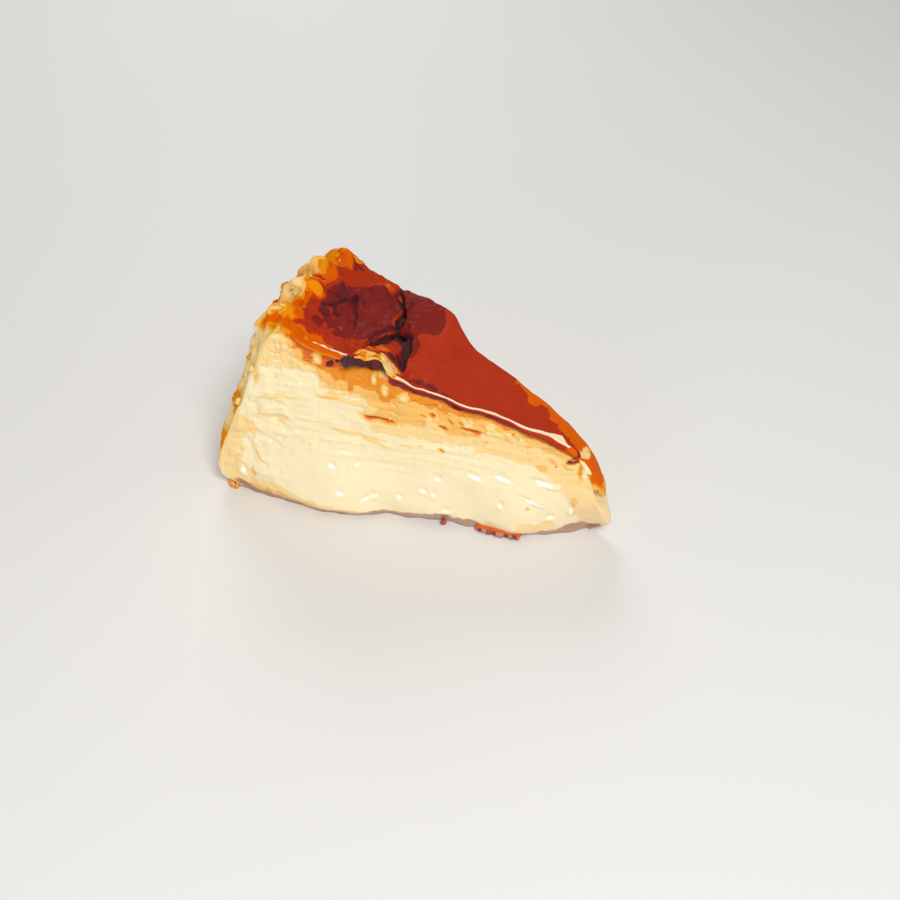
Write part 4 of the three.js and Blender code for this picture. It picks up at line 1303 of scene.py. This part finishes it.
def ranged(tree, socket, x, y, low, high, from_low=0.0, from_high=1.0):
    inputs = {"Value": socket, "From Min": from_low, "From Max": from_high, "To Min": low, "To Max": high}
    return filled_node(tree, "ShaderNodeMapRange", x, y, inputs)["Result"]


def mixed_colour(tree, x, y, share, first, second):
    """Mixes two colours; each is a socket or a fixed colour."""
    node = new_node(tree, "ShaderNodeMix", x, y, data_type="RGBA")
    feed(tree, node.inputs["Factor"], share)
    for key, value in (("A", first), ("B", second)):
        feed(tree, next(s for s in node.inputs if s.name == key and s.type == "RGBA"), value)
    return next(s for s in node.outputs if s.type == "RGBA")


def base_material(name):
    material = bpy.data.materials.new(name)
    material.use_nodes = True
    tree = material.node_tree
    shader = tree.nodes["Principled BSDF"]
    shader.location = (600, 0)
    tree.nodes["Material Output"].location = (900, 0)
    return material, tree, shader


def shared_groups():
    """The node groups that all finishes share, built once."""
    found = bpy.data.node_groups
    return (
        found.get("Baking colours") or browning_group(bpy.context.scene.cake_colours),
        found.get("Crumb relief") or crumb_group(),
    )


def food_material(name, cover_colour=None):
    """One of the finishes: baking colours by the browning attribute, a cover colour over them, roughness and
    coat by how wet or glossy a place is, light that passes a little way in, and the relief of crumbs and
    pores."""
    look = FINISHES[name]
    material, tree, shader = base_material(name)
    baking_colours, crumb_relief = shared_groups()
    mask = attribute_node(tree, look["mask"], -1200, -300)
    colour = group_node(tree, baking_colours, -900, 200, {
        "Browning": attribute_node(tree, "browning", -1200, 200),
        "Patchiness": look["patchiness"],
        "Speckle": look["speckle"],
        "Patch size": look["patch_size"],
    })
    # The cover colour lies on top: on the custard the foot band's tan, partly painted shade, and on the skin
    # a painted edge highlight
    if look["cover"]:
        share = attribute_node(tree, look["cover"], -900, -600)
        if look["cover"] == "painted_edge_highlight":
            share = ranged(tree, share, -500, -100, 0.0, 1.0, *CRISP_BORDER)
        colour = mixed_colour(tree, -300, 200, share, colour, linear(cover_colour))
    height = group_node(tree, crumb_relief, -900, -300, {
        "Wetness": mask,
        "Crumb size": look["crumb_size"],
        "Pore size": look["pore_size"],
    })
    bump = filled_node(tree, "ShaderNodeBump", 100, -600, {
        "Height": height,
        "Distance": look["bump_height"],
        "Strength": look["bump_strength"],
    })
    for key, value in (
        ("Base Color", colour),
        ("Roughness", ranged(tree, mask, 100, -200, *look["roughness"])),
        ("Coat Weight", ranged(tree, mask, 100, -400, *look["coat"])),
        ("Coat Roughness", look["coat_roughness"]),
        ("Coat IOR", look["coat_ior"]),
        ("Subsurface Weight", look["scatter"]),
        ("Subsurface Radius", look["scatter_radius"]),
        ("Subsurface Scale", 1.0),
        ("Specular IOR Level", look["specular"]),
        ("Normal", bump["Normal"]),
    ):
        feed(tree, shader.inputs[key], value)
    return material


def table_material(colour):
    """Plain pale surface with a faint unevenness in tone and sheen."""
    material, tree, shader = base_material("pale table")
    place = new_node(tree, "ShaderNodeTexCoord", -900, 0).outputs["Object"]
    cloud = noise_node(tree, -700, 0, 6.0, 3, 0.5, place)
    plain, paler = (tuple(min(1.0, lighter * c) for c in colour) + (1.0,) for lighter in (1, 1.03))
    feed(tree, shader.inputs["Base Color"], mixed_colour(tree, -300, 100, cloud, plain, paler))
    feed(tree, shader.inputs["Roughness"], ranged(tree, cloud, -300, -200, 0.55, 0.65))
    feed(tree, shader.inputs["Specular IOR Level"], 0.2)
    return material


def measure(name, text, default, low, high, **more):
    return FloatProperty(name=name, description=text, default=default, min=low, max=high, **more)


def screen_colour(name, text, colour):
    return FloatVectorProperty(name=name, description=text, default=colour, size=3, min=0, max=255)


def turned(name, text, degrees):
    return FloatProperty(
        name=name, description=text, default=np.radians(degrees), subtype="ANGLE", unit="ROTATION"
    )


class CakeSizes(bpy.types.PropertyGroup):
    """Sizes of the dressed pieces, in millimetres where they are lengths."""

    skin_thickness: measure("Skin thickness", "Scorched skin at the cut edge, mm", 1.0, 0.3, 2.0)
    skin_lip: measure("Skin lip", "How far the skin overhangs the cut face, mm", 0.3, 0.0, 1.5)
    drape_low: measure(
        "Drape over the tip",
        "Height at which the skin over the tip ends, as a share",
        0.66, 0.2, 0.95, subtype="FACTOR",
    )
    custard_steps: IntProperty(
        name="Steps along the custard", description="Columns of the cut faces", default=344, min=60, max=400
    )
    crumbs: IntProperty(
        name="Crumbs", description="Crumbs on each of the places where they cling", default=60, min=0, max=400
    )
    seed: IntProperty(name="Seed", description="Start of the random draw for crumbs", default=4)


class CakeColours(bpy.types.PropertyGroup):
    """Screen colours of the custard from raw to burnt, from 0 to 255."""

    cream: screen_colour("Cream", "Barely baked custard", (249, 231, 187))
    pale_amber: screen_colour("Pale amber", "Custard near the skin", (248, 213, 145))
    amber: screen_colour("Amber", "Baked custard", (244, 188, 97))
    deep_amber: screen_colour("Deep amber", "Custard right under the skin", (231, 140, 6))
    orange: screen_colour("Orange", "Lightly scorched skin", (219, 94, 3))
    red_brown: screen_colour("Red-brown", "Scorched skin", (176, 51, 24))
    dark_brown: screen_colour("Dark red-brown", "Well scorched skin", (128, 36, 31))
    # Burnt and black-brown are also the painted shade in the creases and in the hollow under the torn skin
    burnt: screen_colour("Burnt", "Skin in the folds", (104, 35, 40))
    black_brown: screen_colour("Black-brown", "Deepest folds", (72, 40, 45))
    # The foot colour is the tan band, partly a baked base layer and partly painted shade where the foot turns
    # under
    foot: screen_colour("Foot", "Thin baked line round the foot", (174, 131, 102))
    # The skin edge colour is the pale of the highlight painted along the skin's torn edge
    edge: screen_colour("Skin edge", "Bare cut edge of the skin", (250, 224, 184))


class StageSizes(bpy.types.PropertyGroup):
    """Stage, lights and camera."""

    table_colour: FloatVectorProperty(
        name="Table", description="Colour of the table", default=(0.80, 0.79, 0.77), min=0, max=1,
        subtype="COLOR",
    )
    sky: measure("Soft light", "Strength of the even light from all sides", 0.345, 0, 3)
    key: measure("Key light", "Power of the soft box on the right", 3.05, 0, 100, unit="POWER")
    behind: measure("Back light", "Power of the soft box behind", 1.55, 0, 100, unit="POWER")
    glint: measure("Glint light", "Power of the low strip in front", 0.52, 0, 100, unit="POWER")
    lens: measure("Lens", "Focal length on a 36 mm sensor", 46.4, 20, 200, unit="CAMERA")
    camera_place: FloatVectorProperty(
        name="Camera", description="Camera's place", default=(0.116, -0.22718, 0.228),
        subtype="TRANSLATION", unit="LENGTH",
    )
    camera_pitch: turned("Pitch", "How far the camera looks down", 40.3)
    camera_turn: turned("Turn", "Camera's turn from looking along +Y", 25.3)


class CAKE_OT_custard(bpy.types.Operator):
    """Builds the soft body with its two cut faces"""

    bl_idname = "cake.custard"
    bl_label = "Custard body"

    def execute(self, context):
        scene = context.scene
        material = food_material("moist custard", scene.cake_colours.foot)
        place_piece("cut_custard", custard_mesh(scene.cake_sizes), material)
        return {"FINISHED"}


class CAKE_OT_skin(bpy.types.Operator):
    """Builds the scorched skin over the tip, the top, the rim and the side, with its torn flap"""

    bl_idname = "cake.skin"
    bl_label = "Scorched skin"

    def execute(self, context):
        scene = context.scene
        material = food_material("scorched skin", scene.cake_colours.edge)
        place_piece("scorched_skin", skin_mesh(scene.cake_sizes), material)
        place_piece("torn_flap", flap_mesh(), material)
        return {"FINISHED"}


class CAKE_OT_crumbs(bpy.types.Operator):
    """Builds the crumbs that cling to the slice, the syrup under the flap, which also stands in for the shade
    of the opening, and the browned bits at the foot
    """

    bl_idname = "cake.crumbs"
    bl_label = "Crumbs and bits"

    def execute(self, context):
        sizes = context.scene.cake_sizes
        material = food_material("loose crumb")
        place_piece("crumbs", crumb_mesh(sizes), material)
        place_piece("foot_bits", foot_bit_mesh(sizes), bpy.data.materials["moist custard"])
        place_piece("syrup_and_shade", syrup_and_shade_mesh(sizes), material)
        return {"FINISHED"}


def soft_box(name, place, width, height, power):
    """An oblong area light that looks at the middle of the slice."""
    light = bpy.data.lights.new(name, "AREA")
    light.shape = "RECTANGLE"
    light.size = width
    light.size_y = height
    light.energy = power
    lamp = bpy.data.objects.new(name, light)
    lamp.location = place
    lamp.rotation_euler = (Vector((0.0, 0.0, 0.02)) - Vector(place)).to_track_quat("-Z", "Y").to_euler()
    bpy.context.scene.collection.objects.link(lamp)


class CAKE_OT_stage(bpy.types.Operator):
    """Builds the table, the soft lights and the camera"""

    bl_idname = "cake.stage"
    bl_label = "Stage"

    def execute(self, context):
        scene = context.scene
        stage = scene.cake_stage
        reach = 2.0
        corners = [(-reach, -reach, 0), (reach, -reach, 0), (reach, reach, 0), (-reach, reach, 0)]
        mesh = bpy.data.meshes.new("table")
        mesh.from_pydata(corners, [], [(0, 1, 2, 3)])
        mesh.update()
        table = bpy.data.objects.new("table", mesh)
        scene.collection.objects.link(table)
        table.data.materials.append(table_material(tuple(stage.table_colour)))
        scene.world = scene.world or bpy.data.worlds.new("soft light")
        scene.world.use_nodes = True
        sky = scene.world.node_tree.nodes["Background"]
        sky.inputs["Color"].default_value = (1.0, 0.985, 0.96, 1)
        sky.inputs["Strength"].default_value = stage.sky
        soft_box("key box", (0.35, -0.30, 0.60), 0.20, 0.20, stage.key)
        soft_box("back box", (-0.35, 0.45, 0.48), 0.35, 0.35, stage.behind)
        soft_box("glint box", (0.06, -0.495, 0.115), 0.24, 0.08, stage.glint)
        camera = bpy.data.cameras.new("view")
        camera.lens = stage.lens
        camera.sensor_width = 36
        camera.clip_start = 0.01
        eye = bpy.data.objects.new("view", camera)
        turn, pitch = stage.camera_turn, stage.camera_pitch
        look = Vector((-np.sin(turn) * np.cos(pitch), np.cos(turn) * np.cos(pitch), -np.sin(pitch)))
        eye.location = stage.camera_place
        eye.rotation_euler = look.to_track_quat("-Z", "Y").to_euler()
        scene.collection.objects.link(eye)
        scene.camera = eye
        scene.view_settings.view_transform = "Standard"
        return {"FINISHED"}


class CAKE_PT_panel(bpy.types.Panel):
    """Shows the slice's settings and the buttons that build its pieces"""

    bl_idname = "CAKE_PT_panel"
    bl_label = "Burnt cheesecake slice"
    bl_space_type = "VIEW_3D"
    bl_region_type = "UI"
    bl_category = "Cheesecake"

    def draw(self, context):
        scene = context.scene
        for settings in (scene.cake_sizes, scene.cake_colours, scene.cake_stage):
            box = self.layout.box()
            for key in settings.bl_rna.properties.keys():
                if key not in ("rna_type", "name"):
                    box.prop(settings, key)
        for operator in OPERATORS:
            self.layout.operator(operator.bl_idname)


OPERATORS = (CAKE_OT_custard, CAKE_OT_skin, CAKE_OT_crumbs, CAKE_OT_stage)
CLASSES = (CakeSizes, CakeColours, StageSizes, *OPERATORS, CAKE_PT_panel)


def register():
    for cls in CLASSES:
        bpy.utils.register_class(cls)
    bpy.types.Scene.cake_sizes = PointerProperty(type=CakeSizes)
    bpy.types.Scene.cake_colours = PointerProperty(type=CakeColours)
    bpy.types.Scene.cake_stage = PointerProperty(type=StageSizes)


def unregister():
    del bpy.types.Scene.cake_stage
    del bpy.types.Scene.cake_colours
    del bpy.types.Scene.cake_sizes
    for cls in reversed(CLASSES):
        bpy.utils.unregister_class(cls)


def main():
    register()
    bpy.ops.cake.custard()
    bpy.ops.cake.skin()
    bpy.ops.cake.crumbs()
    bpy.ops.cake.stage()


if __name__ == "__main__":
    main()
